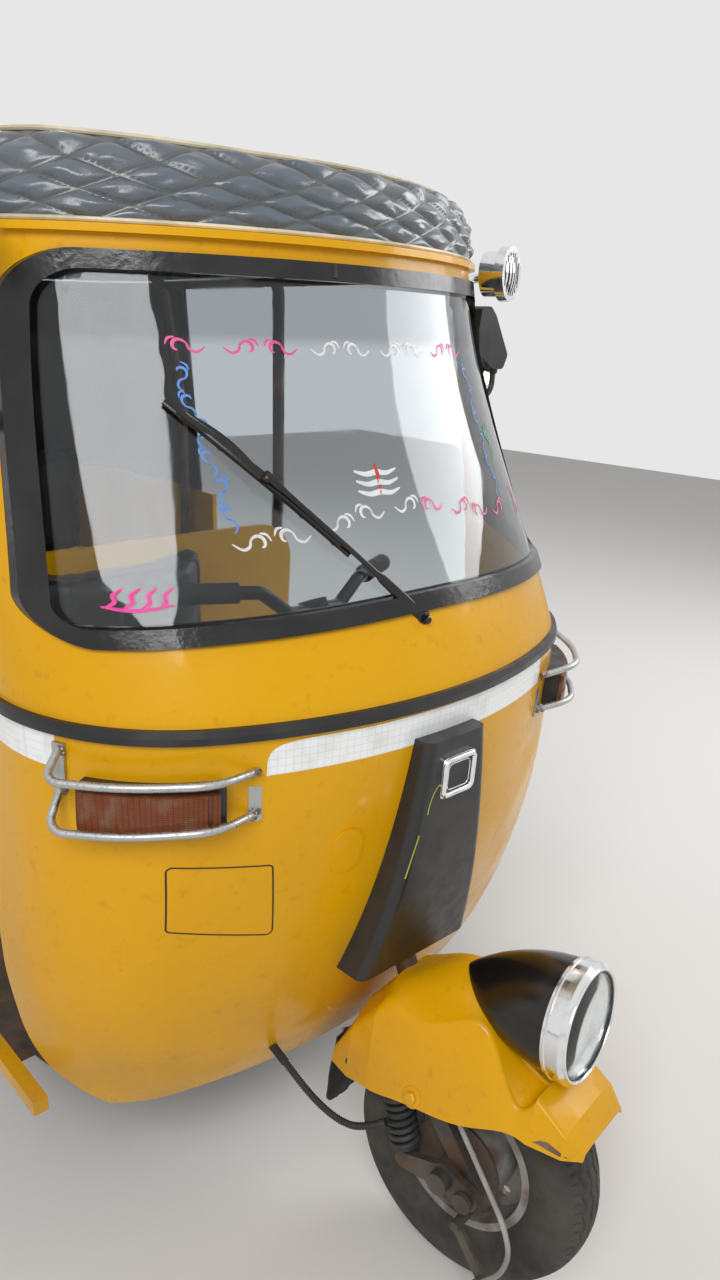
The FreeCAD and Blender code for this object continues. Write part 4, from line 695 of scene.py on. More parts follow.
def makeOrnaments():
    skin = skinOf("windscreen_glass")
    lift = ornamentValues["lift"]
    sets = {"white": [], "pink": [], "blue": [], "magenta": [], "green": [], "red": []}
    for i in range(9):
        x = -0.262 + i * 0.060
        colour = "pink" if i < 3 or i > 6 else "white"
        sets[colour] += scroll(x, 1.390, 0.026, 0 if i % 2 else math.pi, 1 if i % 2 else -1)
    for i in range(6):
        z = 1.350 - i * 0.034
        sets["blue"] += scroll(-0.278 + 0.004 * i, z, 0.022, math.pi / 2, 1 if i % 2 else -1)
        sets["blue"] += scroll(0.252 + 0.004 * i, z, 0.022, math.pi / 2, -1 if i % 2 else 1)
    for i in range(9):
        x = -0.245 + i * 0.062
        colour = "pink" if i > 4 else "white"
        z = 1.166 + 0.016 * math.cos((i - 4) * 0.75)
        sets[colour] += scroll(x, z, 0.028, math.pi * (i % 2), -1 if i % 2 else 1)
    for i, z in enumerate((1.205, 1.218, 1.231)):
        wave = [(-0.074, z + 0.003), (-0.055, z - 0.002), (-0.036, z),
                (-0.017, z - 0.002), (0.002, z + 0.003)]
        sets["white"].append((wave, 0.0075))
    sets["red"].append(([(-0.036, 1.243), (-0.034, 1.225), (-0.036, 1.202)], 0.0065))
    for i in range(4):  # small flames that lean back from one root
        x = -0.413 + i * 0.017
        flame = [(x - 0.004, 1.079), (x + 0.006, 1.086), (x + 0.006, 1.094), (x + 0.018, 1.103)]
        sets["magenta"].append((flame, 0.0046))
    sets["magenta"].append(([(-0.421, 1.080), (-0.39, 1.0765), (-0.347, 1.083)], 0.0045))
    for k in range(3):
        sets["green"] += scroll(0.300, 1.235 + 0.018 * k, 0.020, 1.2 + k, 1)
        sets["magenta"] += scroll(0.355, 1.130 + 0.014 * k, 0.018, 0.6 + k, -1)
    for colour, lines in sets.items():
        paint = newFinish("screen " + colour, ornamentValues[colour], 0.45)
        roughen(paint, clouds(paint, 60, 4), 0.35, 0.6)
        tint(paint, clouds(paint, 80, 5), tuple(c * 0.6 for c in ornamentValues[colour]), 0.3)
        parts = [skinStroke(skin, line, width, lift) for line, width in lines]
        mesh = meshOf("ornament_" + colour, *gather(parts))
        newPiece("ornament_" + colour, mesh, paint)


makeDecals()
makeOrnaments()
print("decals are on the cab")

# tyres with their tread

tyreValues = {"radius": 0.203, "treadHalf": 0.037, "grooveDepth": 0.0045,
              "grooves": [-0.0245, -0.0085, 0.0085, 0.0245],
              "grooveHalf": 0.0026, "grooveWall": 0.0012, "zigzag": 0.0028, "zigzags": 40,
              "shoulder": 0.029, "sipeShare": 0.13, "sipeDepth": 0.8, "crownDrop": 0.0105,
              "treadSteps": 46, "around": 480}


def tyreProfile():
    # across and out from the hub, from one bead over the crown to the other bead
    outer = tyreValues["radius"]
    profile = [(-0.0345, 0.1125), (-0.041, 0.119), (-0.0475, 0.130), (-0.0515, 0.145), (-0.0520, 0.158),
               (-0.0505, 0.172), (-0.0465, 0.184), (-0.0425, 0.1905)]
    steps, tread = tyreValues["treadSteps"], tyreValues["treadHalf"]
    for k in range(steps + 1):
        x = -tread + 2 * tread * k / steps
        profile.append((x, outer - tyreValues["crownDrop"] * (abs(x) / tread) ** 2.4))
    return profile + [(-x, r) for x, r in reversed(profile[:8])]


def grooveAt(x, angle):
    # how far the tread is cut in at this place
    v = tyreValues
    swing = angle * v["zigzags"] / (2 * math.pi)
    wave = abs((swing % 1) * 4 - 2) - 1
    deepest = 0.0
    for groove in v["grooves"]:
        near = abs(x - groove - wave * v["zigzag"])
        deepest = max(deepest, min(1.0, max(0.0, (v["grooveHalf"] - near) / v["grooveWall"])))
    sipe = abs(((swing * 2) % 1) - 0.5)
    if abs(x) > v["shoulder"] and sipe < v["sipeShare"]:
        deepest = max(deepest, v["sipeDepth"])
    return deepest * v["grooveDepth"]


def makeTyre(name, node, body, centre, axle):
    profile = tyreProfile()
    around = tyreValues["around"]
    axle = axle.normalized()
    up = Vector((0, 0, 1))
    up = (up - axle * up.dot(axle)).normalized()
    ahead = axle.cross(up)
    points = []
    count = len(profile)
    for i in range(around):
        angle = 2 * math.pi * i / around
        out = up * math.cos(angle) + ahead * math.sin(angle)
        for x, r in profile:
            if abs(x) <= tyreValues["treadHalf"] and r > 0.19:
                r -= grooveAt(x, angle)
            points.append(centre + axle * x + out * r)
    faces = gridFaces(around + 1, count)
    faces = [tuple(v % len(points) for v in quad) for quad in faces]  # the last row meets the first
    piece = newPiece(name, (points, faces), "tyre", body, 50)
    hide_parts(node)


def jointOf(child):
    for joint in frame["joints"]:
        if joint["child"] == child:
            return joint


def makeTyres():
    for name, node, body in (("front_tyre_tread", "front_tyre", "front_wheel"),
                             ("rear_left_tyre_tread", "rear_left_tyre", "rear_left_wheel"),
                             ("rear_right_tyre_tread", "rear_right_tyre", "rear_right_wheel")):
        joint = jointOf(body)
        makeTyre(name, node, body, Vector(joint["pos_m"]), Vector(joint["axis"]))


makeTyres()
print("tyres have their tread")

# roof: one quilted vinyl sheet over the bows, edged with cream piping

roofValues = {
    "base": 1.5333, "half": 0.479, "nose": -0.780, "noseRadius": 0.596, "cornerRadius": 0.312,
    "rear": 1.190, "rearHalf": 0.600, "rearCorner": 0.330,
    "profile": [(0, 0), (0.006, 0.045), (0.016, 0.068), (0.030, 0.086), (0.048, 0.097), (0.090, 0.104),
                (0.175, 0.113), (0.290, 0.120)],  # inset from the edge, height
    "levels": [0.003, 0.021, 0.038, 0.055, 0.076, 0.104, 0.117],  # climb of each row of seam crossings
    "topLevel": 5.5, "cells": 48, "cellSteps": 16, "seamStart": 0.084, "seamLean": 0.0066,
    "puff": 0.0095, "lining": 0.007, "leftRise": 0.011, "piping": 0.0036,
    "ridgeInset": 0.31, "middleHeight": 0.1225,  # where the top's rings draw together
    "topClimbs": (0.128, 0.150, 0.19, 0.24, 0.30, 0.357),
    "underClimbs": (0.25, 0.16, 0.118, 0.085, 0.05, 0.004),
}


def roofEdgeSpots():
    # half of the roof's edge in plan, from the middle of the front to the middle of the back
    v = roofValues
    x, gap = v["half"] - v["cornerRadius"], v["noseRadius"] - v["cornerRadius"]
    noseY = v["nose"] + v["noseRadius"]
    y = noseY - math.sqrt(gap ** 2 - x ** 2)
    turn = math.asin(x / gap)
    rearX, rearY = v["rearHalf"] - v["rearCorner"], v["rear"] - v["rearCorner"]
    flank = math.pi / 2 - math.atan2(v["rearHalf"] - v["half"], rearY - y)
    spots = []
    for cx, cy, radius, start, end in ((0, noseY, v["noseRadius"], 0, turn),
                                       (x, y, v["cornerRadius"], turn, flank),
                                       (rearX, rearY, v["rearCorner"], flank, math.pi)):
        for k in range(41):
            a = start + (end - start) * k / 40
            out = Vector((math.sin(a), -math.cos(a), 0))
            spots.append((Vector((cx, cy, 0)) + out * radius, out))
    spots.append((Vector((0, v["rear"], 0)), Vector((0, 1, 0))))
    return spots


def lengthsOf(path):
    lengths = [0.0]
    for a, b in zip(path, path[1:]):
        lengths.append(lengths[-1] + (b - a).length)
    return lengths


def atLength(path, lengths, distance):
    k = min(max(bisect(lengths, distance) - 1, 0), len(path) - 2)
    span = lengths[k + 1] - lengths[k]
    return path[k].lerp(path[k + 1], (distance - lengths[k]) / span if span > 1e-9 else 0)


roofEdge, roofOut = zip(*roofEdgeSpots())
roofEdgeLengths = lengthsOf(roofEdge)
roofRound = 2 * roofEdgeLengths[-1]
roofCurve = smoothRun([(inset, height, 0) for inset, height in roofValues["profile"]], 6)
roofCurveLengths = lengthsOf(roofCurve)


def roofSpot(distance, climb, lift=0.0):
    # distance goes round the edge from the front's middle, climb goes up the curve, lift is off it
    distance = (distance + roofRound / 2) % roofRound - roofRound / 2
    edge = atLength(roofEdge, roofEdgeLengths, abs(distance)).copy()
    out = atLength(roofOut, roofEdgeLengths, abs(distance)).normalized()
    here = atLength(roofCurve, roofCurveLengths, climb)
    rise = (atLength(roofCurve, roofCurveLengths, climb + 0.002) - here).normalized()
    height = here.y
    left = min(max((-distance - 0.15) / 0.3, 0), 1) * min(max((1.3 + distance) / 0.5, 0), 1)
    height += roofValues["leftRise"] * left * min(climb / 0.117, 1) ** 2
    place = edge - out * (here.x - rise.y * lift)
    if distance < 0:
        place.x = -place.x
    return Vector((place.x, place.y, roofValues["base"] + height + rise.x * lift))


def climbOf(level):
    levels = roofValues["levels"]
    k = min(int(level), len(levels) - 2)
    return levels[k] + (levels[k + 1] - levels[k]) * min(level - k, 1.0) / (0.5 if k == 5 else 1)


def quiltSwell(u, level):
    # 0 on the diagonal seams, 1 on a cell's crown
    a, b = (u + level / 2) % 1, (u - level / 2) % 1
    swell = max(0.0, math.sin(math.pi * a ** 0.68) * math.sin(math.pi * b ** 0.9)) ** 0.62
    return swell * min(1, (level + 0.06) / 0.75) * min(1, (roofValues["topLevel"] - level + 0.02) / 0.8)


def quiltLift(u, level):
    swell = quiltSwell(u, level)
    cell = noise.noise(Vector((math.floor(u + level / 2) * 1.7, math.floor(u - level / 2) * 2.3, 4.1)))
    wave = math.sin(2 * math.pi * (level * 1.15 + cell * 3 + 0.35 * math.sin(u * 9)))
    ruck = noise.noise(Vector((u * 5.0, level * 2.2, 1.3)))
    return swell * (roofValues["puff"] * (1 + 0.22 * cell + 0.16 * ruck) + 0.0011 * wave)


def makeRoof():
    v = roofValues
    around = v["cells"] * v["cellSteps"]
    cell = roofRound / v["cells"]
    rows, valley = [], []
    count = int(v["topLevel"] * 8) + 1
    for j in range(count):
        level = j / 8
        row = []
        for i in range(around):
            u = i / v["cellSteps"]
            distance = cell * u + v["seamStart"] - v["seamLean"] * level
            row.append(roofSpot(distance, climbOf(level), quiltLift(u, level)))
            valley.append(1 - min(1.0, 1.9 * quiltSwell(u, level)))
        rows.append(row)
    edgeY = v["nose"] + v["ridgeInset"], v["rear"] - v["ridgeInset"]

    def ring(climb, lift):
        return [roofSpot(cell * (i / v["cellSteps"] + 0.5), climb, lift) for i in range(around)]

    def inward(outer, share, lift):
        row = []
        for at in outer:
            middle = Vector((0, min(max(at.y, edgeY[0]), edgeY[1]), v["base"] + v["middleHeight"]))
            spot = at.lerp(middle, share)
            sag = 0.0015 * noise.noise(Vector((spot.x * 4, spot.y * 4, 1.5)))
            row.append(spot + Vector((0, 0, 0.002 * math.sin(share * 1.5) + lift + sag)))
        return row

    for climb in v["topClimbs"]:
        rows.append(ring(climb, -0.0015 * math.sin(min(1, (climb - 0.117) / 0.05) * 1.5)))
    outer = rows[-1]
    for share in (0.25, 0.5, 0.75, 1.0):
        rows.append(inward(outer, share, 0))
    split = len(rows)
    inner = ring(v["topClimbs"][-1], -v["lining"])
    for share in (1.0, 0.5):
        rows.append(inward(inner, share, -0.001))
    rows.append(inner)
    for climb in v["underClimbs"]:
        rows.append(ring(climb, -v["lining"]))
    points = [at for row in rows for at in row]
    faces = []
    for j in range(len(rows)):
        if j == split - 1:
            continue
        for i in range(around):
            m, n = (i + 1) % around, (j + 1) % len(rows)
            a, b, c, d = j * around + i, j * around + m, n * around + m, n * around + i
            if j < count - 1:
                falls = (i + j) % v["cellSteps"] == v["cellSteps"] - 1
                faces += [(a, b, d), (b, c, d)] if falls else [(a, b, c), (a, c, d)]
            else:
                faces.append((a, b, c, d))
    mesh = meshOf("roof_quilt", points, faces)
    dust = mesh.attributes.new("valley", "FLOAT", "POINT")
    for k, amount in enumerate(valley):
        dust.data[k].value = amount
    shape = bmesh.new()
    shape.from_mesh(mesh)
    bmesh.ops.remove_doubles(shape, verts=shape.verts, dist=0.00005)
    shape.to_mesh(mesh)
    shape.free()
    quilt = newPiece("roof_quilt", mesh, "roofVinyl", smooth=180)
    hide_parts("canopy")
    trims = []
    for climb, lift, radius in ((0.1175, 0.0030, v["piping"]), (0.0035, 0.0024, v["piping"] * 0.95)):
        path = [roofSpot(roofRound * k / 420, climb, lift) for k in range(420)]
        trims.append(sweep(path, radius, 8, True))
    newPiece("roof_piping", gather(trims), "piping")


makeRoof()
print("roof is quilted")

# rear curtain: a vinyl sheet with a clear window, hems and snap studs

curtainValues = {
    "low": (0.9405, 0.649, 1.261, 0.110), "high": (1.530, 0.599, 1.189, 0.330), "front": 0.620,
    "sides": 46, "corner": 34, "back": 96, "tall": 56, "thickness": 0.003, "fold": 0.0045,
    "window": (0.325, 1.165, 1.415, 0.060),  # half width, low edge, high edge, corner radius
    "binding": 0.024, "hems": ((0.024, 0.024), (0.985, 0.016)),  # share of the height, width
    "studs": 26, "studShare": 0.024, "joinTop": 1.15,
    "stud": [(0, 0.0072), (0.0012, 0.0072), (0.0026, 0.0055), (0.0032, 0.003)],
}


def curtainSpot(i, share, lift=0.0):
    # i counts round the curtain, from its right front edge to its left one
    v = curtainValues
    n = [v["sides"], v["corner"], v["back"], v["corner"], v["sides"]]
    z, half, rear, corner = [a + (b - a) * share for a, b in zip(v["low"], v["high"])]
    bounds = [0, n[0], n[0] + n[1], n[0] + n[1] + n[2], n[0] + 2 * n[1] + n[2], sum(n)]
    if i <= bounds[1]:
        out = Vector((-1, 0, 0))
        place = Vector((-half, v["front"] + (rear - corner - v["front"]) * i / n[0], z))
    elif i <= bounds[2]:
        a = math.pi / 2 * (i - bounds[1]) / n[1]
        out = Vector((-math.cos(a), math.sin(a), 0))
        place = Vector((corner - half, rear - corner, z)) + out * corner
    elif i <= bounds[3]:
        t = (i - bounds[2]) / n[2]
        place, out = Vector(((half - corner) * (2 * t - 1), rear, z)), Vector((0, 1, 0))
    elif i <= bounds[4]:
        a = math.pi / 2 * (1 - (i - bounds[3]) / n[3])
        out = Vector((math.cos(a), math.sin(a), 0))
        place = Vector((half - corner, rear - corner, z)) + out * corner
    else:
        t = 1 - (i - bounds[4]) / n[4]
        place, out = Vector((half, v["front"] + (rear - corner - v["front"]) * t, z)), Vector((1, 0, 0))
    return place + out * lift


def curtainFold(place, share):
    held = math.sin(math.pi * min(max(share, 0), 1)) ** 0.6
    streak = noise.noise(Vector((place.x * 9, place.y * 9, place.z * 1.6)))
    ruck = noise.noise(Vector((place.x * 4 + 3, place.y * 4, place.z * 11)))
    return (streak * 0.7 + ruck * 0.5) * curtainValues["fold"] * held - 0.0005


def windowLoop(inset, gap=0.012):
    half, low, high, corner = curtainValues["window"]
    corners = [(-half + inset, low + inset), (half - inset, low + inset), (half - inset, high - inset),
               (-half + inset, high - inset)]
    return densify(roundedLoop(corners, corner - inset * 0.5), gap)


def onCurtain(x, z, lift):
    v = curtainValues
    share = (z - v["low"][0]) / (v["high"][0] - v["low"][0])
    return Vector((x, v["low"][2] + (v["high"][2] - v["low"][2]) * share + lift, z))


def band(path, across, width, thickness, closed=False):
    # a flat strip with rounded edges along the path; across gives its direction at each point
    points = []
    count = len(path)
    for i, at in enumerate(path):
        ahead = path[(i + 1) % count] if closed else path[min(i + 1, count - 1)]
        behind = path[i - 1] if closed else path[max(i - 1, 0)]
        side = across[i].normalized()
        up = side.cross(ahead - behind).normalized()
        for a, b in ((-0.5, 0), (-0.42, 0.42), (0, 0.5), (0.42, 0.42),
                     (0.5, 0), (0.42, -0.42), (-0.42, -0.42)):
            points.append(at + side * a * width + up * b * thickness)
    return points, ringFaces(count, 7, closed)


def turned(place, along, profile, sides=12):
    # a turned shape: the profile's (distance along, radius) spun round the direction
    along = along.normalized()
    first = along.orthogonal().normalized()
    second = along.cross(first)
    points = []
    for d, r in profile:
        for k in range(sides):
            a = 2 * math.pi * k / sides
            points.append(place + along * d + (first * math.cos(a) + second * math.sin(a)) * r)
    return points, ringFaces(len(profile), sides)


def makeCurtain():
    v = curtainValues
    wide = 2 * v["sides"] + 2 * v["corner"] + v["back"]
    tall = v["tall"]
    half, low, high, corner = v["window"]
    points, faces = [], []
    for layer in (0, 1):
        for j in range(tall + 1):
            for i in range(wide + 1):
                share = j / tall
                flat = curtainSpot(i, share)
                points.append(curtainSpot(i, share, curtainFold(flat, share) - layer * v["thickness"]))
    stride, sheet = wide + 1, (wide + 1) * (tall + 1)

    def inWindow(at):
        dx = max(abs(at.x) - (half - corner), 0)
        dz = max(abs(at.z - (low + high) / 2) - ((high - low) / 2 - corner), 0)
        return at.y > 1.0 and math.hypot(dx, dz) < corner

    cells = [(i, j) for j in range(tall) for i in range(wide)
             if not inWindow((points[j * stride + i] + points[(j + 1) * stride + i + 1]) / 2)]
    kept = set(cells)
    for i, j in cells:
        a = j * stride + i
        quad = (a, a + 1, a + stride + 1, a + stride)
        faces += [quad, tuple(k + sheet for k in quad[::-1])]
        for k, (di, dj) in enumerate(((0, -1), (1, 0), (0, 1), (-1, 0))):
            if (i + di, j + dj) not in kept:
                p, q = quad[k], quad[(k + 1) % 4]
                faces.append((q, p, p + sheet, q + sheet))
    loop = windowLoop(0, 0.004)
    rim = {k for i, j in cells
           for k in (j * stride + i, j * stride + i + 1, (j + 1) * stride + i, (j + 1) * stride + i + 1)
           if any((i + di, j + dj) not in kept and 0 <= j + dj < tall and 0 <= i + di < wide
                  for di in (-1, 0, 1) for dj in (-1, 0, 1))}
    near = {k for k in rim if min((Vector((points[k].x, points[k].z, 0)) - at).length
                                  for at in loop) < 0.011}
    for k in near:
        flat = Vector((points[k].x, points[k].z, 0))
        spot = min(loop, key=lambda at: (flat - at).length)
        for layer in (0, 1):
            at = points[k + layer * sheet]
            at.y += onCurtain(0, spot.y, 0).y - onCurtain(0, at.z, 0).y
            at.x, at.z = spot.x, spot.y
    curtain = newPiece("rear_curtain", (points, faces), "curtainVinyl", smooth=50)
    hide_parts("hood_rear")
    parts = []
    loop = windowLoop(-v["binding"] * 0.25)
    ahead = loop[1:] + loop[:1]
    across = [(b - a).cross(Vector((0, 0, 1))) for a, b in zip(loop, ahead)]
    for lift in (0.002, -0.005):
        parts.append(band([onCurtain(at.x, at.y, lift) for at in loop],
                          [Vector((c.x, 0, c.y)) for c in across], v["binding"], 0.003, True))
    for share, width in v["hems"]:
        path = [curtainSpot(i * 0.5, share, 0.0016) for i in range(2 * wide + 1)]
        parts.append(band(path, [Vector((0, 0, 1))] * len(path), width, 0.003))
    for i in (0.9, wide - 0.9):
        path = [curtainSpot(i, k / 24, 0.0016) for k in range(25)]
        parts.append(band(path, [Vector((0, 1, 0))] * 25, 0.022, 0.004))
    for side in (-1, 1):  # vertical joins beside the window
        path = [onCurtain(side * (0.44 - 0.13 * k / 24), 0.955 + 0.56 * k / 24, 0.0005) for k in range(25)]
        parts.append(sweep([at for at in path if at.z < v["joinTop"]], 0.0022, 6))
    newPiece("curtain_hems", gather(parts), "trim")
    studs = []
    for k in range(v["studs"]):
        i = 3 + (wide - 6) * k / (v["studs"] - 1)
        at = curtainSpot(i, v["studShare"], 0.0025)
        out = (curtainSpot(i, v["studShare"], 1) - curtainSpot(i, v["studShare"])).normalized()
        studs.append(turned(at, out, v["stud"], 10))
    newPiece("curtain_studs", gather(studs), "chrome")
    points = []
    for j in range(21):
        for i in range(45):
            x, z = (half - 0.006) * (2 * i / 44 - 1), low + 0.006 + (high - low - 0.012) * j / 20
            dx = max(abs(x) - (half - corner), 0)
            dz = max(abs(z - (low + high) / 2) - ((high - low) / 2 - corner), 0)
            reach = math.hypot(dx, dz)
            if reach > corner - 0.004:  # corner points come in under the binding
                x -= math.copysign(dx * (1 - (corner - 0.004) / reach), x)
                z -= math.copysign(dz * (1 - (corner - 0.004) / reach), z - (low + high) / 2)
            points.append(onCurtain(x, z, -0.0015 + 0.002 * noise.noise(Vector((x * 7, z * 5, 2)))))
    newPiece("curtain_window", (points, gridFaces(21, 45)), "clearVinyl")


makeCurtain()
print("rear curtain hangs")

# cushions: swollen by cloth pressure, then seamed

padValues = {
    "driver_seat_pad": {"node": "driver_seat", "solid": 0, "voxel": 0.0085,
                        "lines": [-0.12, 0, 0.12], "top": "z"},
    "driver_back_pad": {"node": "driver_seat", "solid": 1, "voxel": 0.0085,
                        "lines": [-0.12, 0, 0.12], "top": "-y"},
    "passenger_seat_pad": {"node": "passenger_seat", "solid": 0, "voxel": 0.012,
                           "lines": [-0.36, -0.18, 0, 0.18, 0.36], "top": "z"},
    "passenger_back_pad": {"node": "passenger_backrest", "solid": 0, "voxel": 0.012,
                           "lines": [-0.36, -0.18, 0, 0.18, 0.36], "top": "-y"},
}
padSwell = {"inset": 0.014, "cap": 0.024, "pressure": 4.0, "lastFrame": 20, "edge": 0.018, "crown": 0.022,
            "groove": 0.007, "grooveWidth": 0.0075, "welt": 0.0042, "corner": 0.035}


def solidBoxes(name):
    # the lowest and highest corners of each solid of a node, from the lowest up
    shape = bmesh.new()
    shape.from_mesh(nodes[name].data)
    bmesh.ops.remove_doubles(shape, verts=shape.verts, dist=0.00002)
    left = set(shape.verts)
    boxes = []
    while left:
        heap, group = [left.pop()], []
        while heap:
            vert = heap.pop()
            group.append(vert.co.copy())
            for edge in vert.link_edges:
                other = edge.other_vert(vert)
                if other in left:
                    left.discard(other)
                    heap.append(other)
        low = Vector([min(at[k] for at in group) for k in range(3)])
        high = Vector([max(at[k] for at in group) for k in range(3)])
        boxes.append((low, high))
    shape.free()
    return sorted(boxes, key=lambda pair: pair[0].z)


def padCore(name, low, high, values):
    # a slightly smaller block, flush where the cushion rests, with rounded edges
    inset = padSwell["inset"]
    low, high = low.copy(), high.copy()
    low.x += inset
    high.x -= inset
    low.y += inset
    high.z -= inset
    seat = values["top"] == "z"
    high.y -= 0.004 if seat else 0.001
    low.z += 0.001 if seat else 0.004
    shape = bmesh.new()
    bmesh.ops.create_cube(shape, size=1)
    for vert in shape.verts:
        vert.co = Vector([(low[k] + high[k]) / 2 + vert.co[k] * (high[k] - low[k]) for k in range(3)])
    bmesh.ops.bevel(shape, geom=shape.edges[:], offset=padSwell["edge"], segments=3, profile=0.5,
                    affect="EDGES")
    mesh = bpy.data.meshes.new(name)
    shape.to_mesh(mesh)
    shape.free()
    return mesh, low, high


def applied(body):
    # the object's mesh with its modifiers worked in
    depsgraph = bpy.context.evaluated_depsgraph_get()
    mesh = bpy.data.meshes.new_from_object(body.evaluated_get(depsgraph))
    body.modifiers.clear()
    body.data = mesh
    return mesh


def makePad(name, values):
    low, high = solidBoxes(values["node"])[values["solid"]]
    mesh, coreLow, coreHigh = padCore(name, low, high, values)
    body = bpy.data.objects.new(name, mesh)
    bpy.context.scene.collection.objects.link(body)
    remesh = body.modifiers.new("voxels", "REMESH")
    remesh.mode, remesh.voxel_size = "VOXEL", values["voxel"]
    mesh = applied(body)
    rest = [vert.co.copy() for vert in mesh.vertices]
    cloth = body.modifiers.new("swelling", "CLOTH")
    cloth.settings.use_pressure = True
    cloth.settings.uniform_pressure_force = padSwell["pressure"]
    cloth.settings.effector_weights.gravity = 0
    cloth.settings.quality = 5
    cloth.point_cache.frame_end = padSwell["lastFrame"]
    for step in range(1, padSwell["lastFrame"] + 1):
        bpy.context.scene.frame_set(step)
    depsgraph = bpy.context.evaluated_depsgraph_get()
    swollen = body.evaluated_get(depsgraph).data
    moved = [vert.co.copy() for vert in swollen.vertices]
    body.modifiers.clear()
    bpy.context.scene.frame_set(1)
    for k, (start, end) in enumerate(zip(rest, moved)):
        push = end - start
        if push.length > padSwell["cap"]:
            push = push.normalized() * padSwell["cap"]
        at = start + push
        at.y = min(at.y, high.y - 0.0005)
        at.z = max(at.z, low.z + 0.0005)
        mesh.vertices[k].co = at
    subdivide = body.modifiers.new("fine", "SUBSURF")
    subdivide.levels = subdivide.render_levels = 1
    mesh = applied(body)
    topAxis, sign = ("yz".index(values["top"][-1]) + 1, -1 if values["top"][0] == "-" else 1)
    outward = Vector((0, 0, 0))
    outward[topAxis] = sign
    mesh.update()
    for vert in mesh.vertices:
        facing = max(0.0, vert.normal.dot(outward))
        for line in values["lines"]:
            away = abs(vert.co.x - line) / padSwell["grooveWidth"]
            if away < 3:
                vert.co -= outward * facing * padSwell["groove"] * math.exp(-away * away)
    for face in mesh.polygons:
        face.use_smooth = True
    mesh.materials.clear()
    mesh.materials.append(finishes["seatVinyl"])
    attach(body, "chassis_body")
    # piping round the crowned side
    shape = bmesh.new()
    shape.from_mesh(mesh)
    tree = BVHTree.FromBMesh(shape)
    shape.free()
    inset = 0.026
    a, b = (0, 1) if values["top"] == "z" else (0, 2)
    corners = [(low[a] + inset, low[b] + inset), (high[a] - inset, low[b] + inset),
               (high[a] - inset, high[b] - inset), (low[a] + inset, high[b] - inset)]
    path = []
    for spot in densify(roundedLoop(corners, padSwell["corner"]), 0.008):
        at = Vector((0, 0, 0))
        at[a], at[b] = spot.x, spot.y
        at[topAxis] = high[topAxis] if sign > 0 else low[topAxis]
        hit = tree.find_nearest(at)[0]
        path.append(hit + (at - hit).normalized() * 0.0005 if (at - hit).length > 0 else hit)
    for _ in range(3):
        path = [(path[k - 1] + path[k] * 2 + path[(k + 1) % len(path)]) / 4 for k in range(len(path))]
    newPiece(name.replace("pad", "welt"), sweep(path, padSwell["welt"], 8, True), "trim")
    return body


def makePads():
    done = {}
    for name, values in padValues.items():
        done.setdefault(values["node"], []).append(makePad(name, values))
    for node, pads in done.items():
        for pad in pads:
            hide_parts(node)


makePads()
print("cushions are swollen and seamed")

# front assembly: lamp, spring, hose, flap and small fender parts

frontValues = {
    "steer": 10.0, "rake": 25.0, "foot": -0.046,
    "spring": {"top": (-0.078, -0.1111, 0.310), "low": (-0.078, -0.0786, 0.203),
               "radius": 0.0200, "wire": 0.0044, "turns": 8.5, "sleeve": 0.0115},
    "flap": {"top": (0, -0.2475, 0.299), "low": (0, -0.263, 0.150), "half": 0.060, "thickness": 0.004},
    "hose": [(-0.182, 0.300, 0.318), (-0.180, 0.250, 0.300), (-0.166, 0.196, 0.258), (-0.150, 0.150, 0.236),
             (-0.130, 0.118, 0.232)],  # x, distance behind the front axle, z
    "bends": (0.25, 0.92), "hoseEnd": (-0.1041, -0.104, 0.246), "hoseRadius": 0.0062, "ribPitch": 0.0042,
}
steerLean = math.radians(frontValues["rake"])
steerTurn = Matrix.Rotation(math.radians(frontValues["steer"]), 3,
                            Vector((0, math.sin(steerLean), math.cos(steerLean))))
steerFoot = Vector((0, frontAxleY + frontValues["foot"], 0))


def onFork(x, ahead, z):
    # a place in the front assembly: sideways, ahead of the axle, height, as it is with the wheel straight
    return steerTurn @ (Vector((x, frontAxleY - ahead, z - 0.0003)) - steerFoot) + steerFoot


def splineRun(points, count):
    # points along the NURBS line that the given points control
    curve = bpy.data.curves.new("line", "CURVE")
    curve.dimensions = "3D"
    curve.resolution_u = 24
    spline = curve.splines.new("NURBS")
    spline.points.add(len(points) - 1)
    for k, at in enumerate(points):
        spline.points[k].co = (*at, 1)
    spline.order_u = 3
    spline.use_endpoint_u = True
    body = bpy.data.objects.new("line", curve)
    mesh = bpy.data.meshes.new_from_object(body)
    path = [vert.co.copy() for vert in mesh.vertices]
    bpy.data.objects.remove(body)
    lengths = lengthsOf(path)
    return [atLength(path, lengths, lengths[-1] * k / (count - 1)) for k in range(count)]


lampValues = {
    "ahead": 0.150, "height": 0.500, "pitch": 4.0, "bowlMouth": -0.0136, "bowlRadius": 0.0735,
    "bowlDepth": 0.0185, "bowlRings": (0.066, 0.056, 0.046, 0.036, 0.026, 0.016, 0.009),
    "cap": [(-0.031, 0.0075), (-0.022, 0.0088), (-0.0165, 0.0085), (-0.0142, 0.0062), (-0.0135, 0.002)],
    "beads": [(0.0805, 0.0006, 0.0026, 10), (0.0872, -0.0280, 0.0014, 8)],
    # radius, place, half width, sides
    "gasket": (0.0768, -0.0008, 0.0013, 8),
}


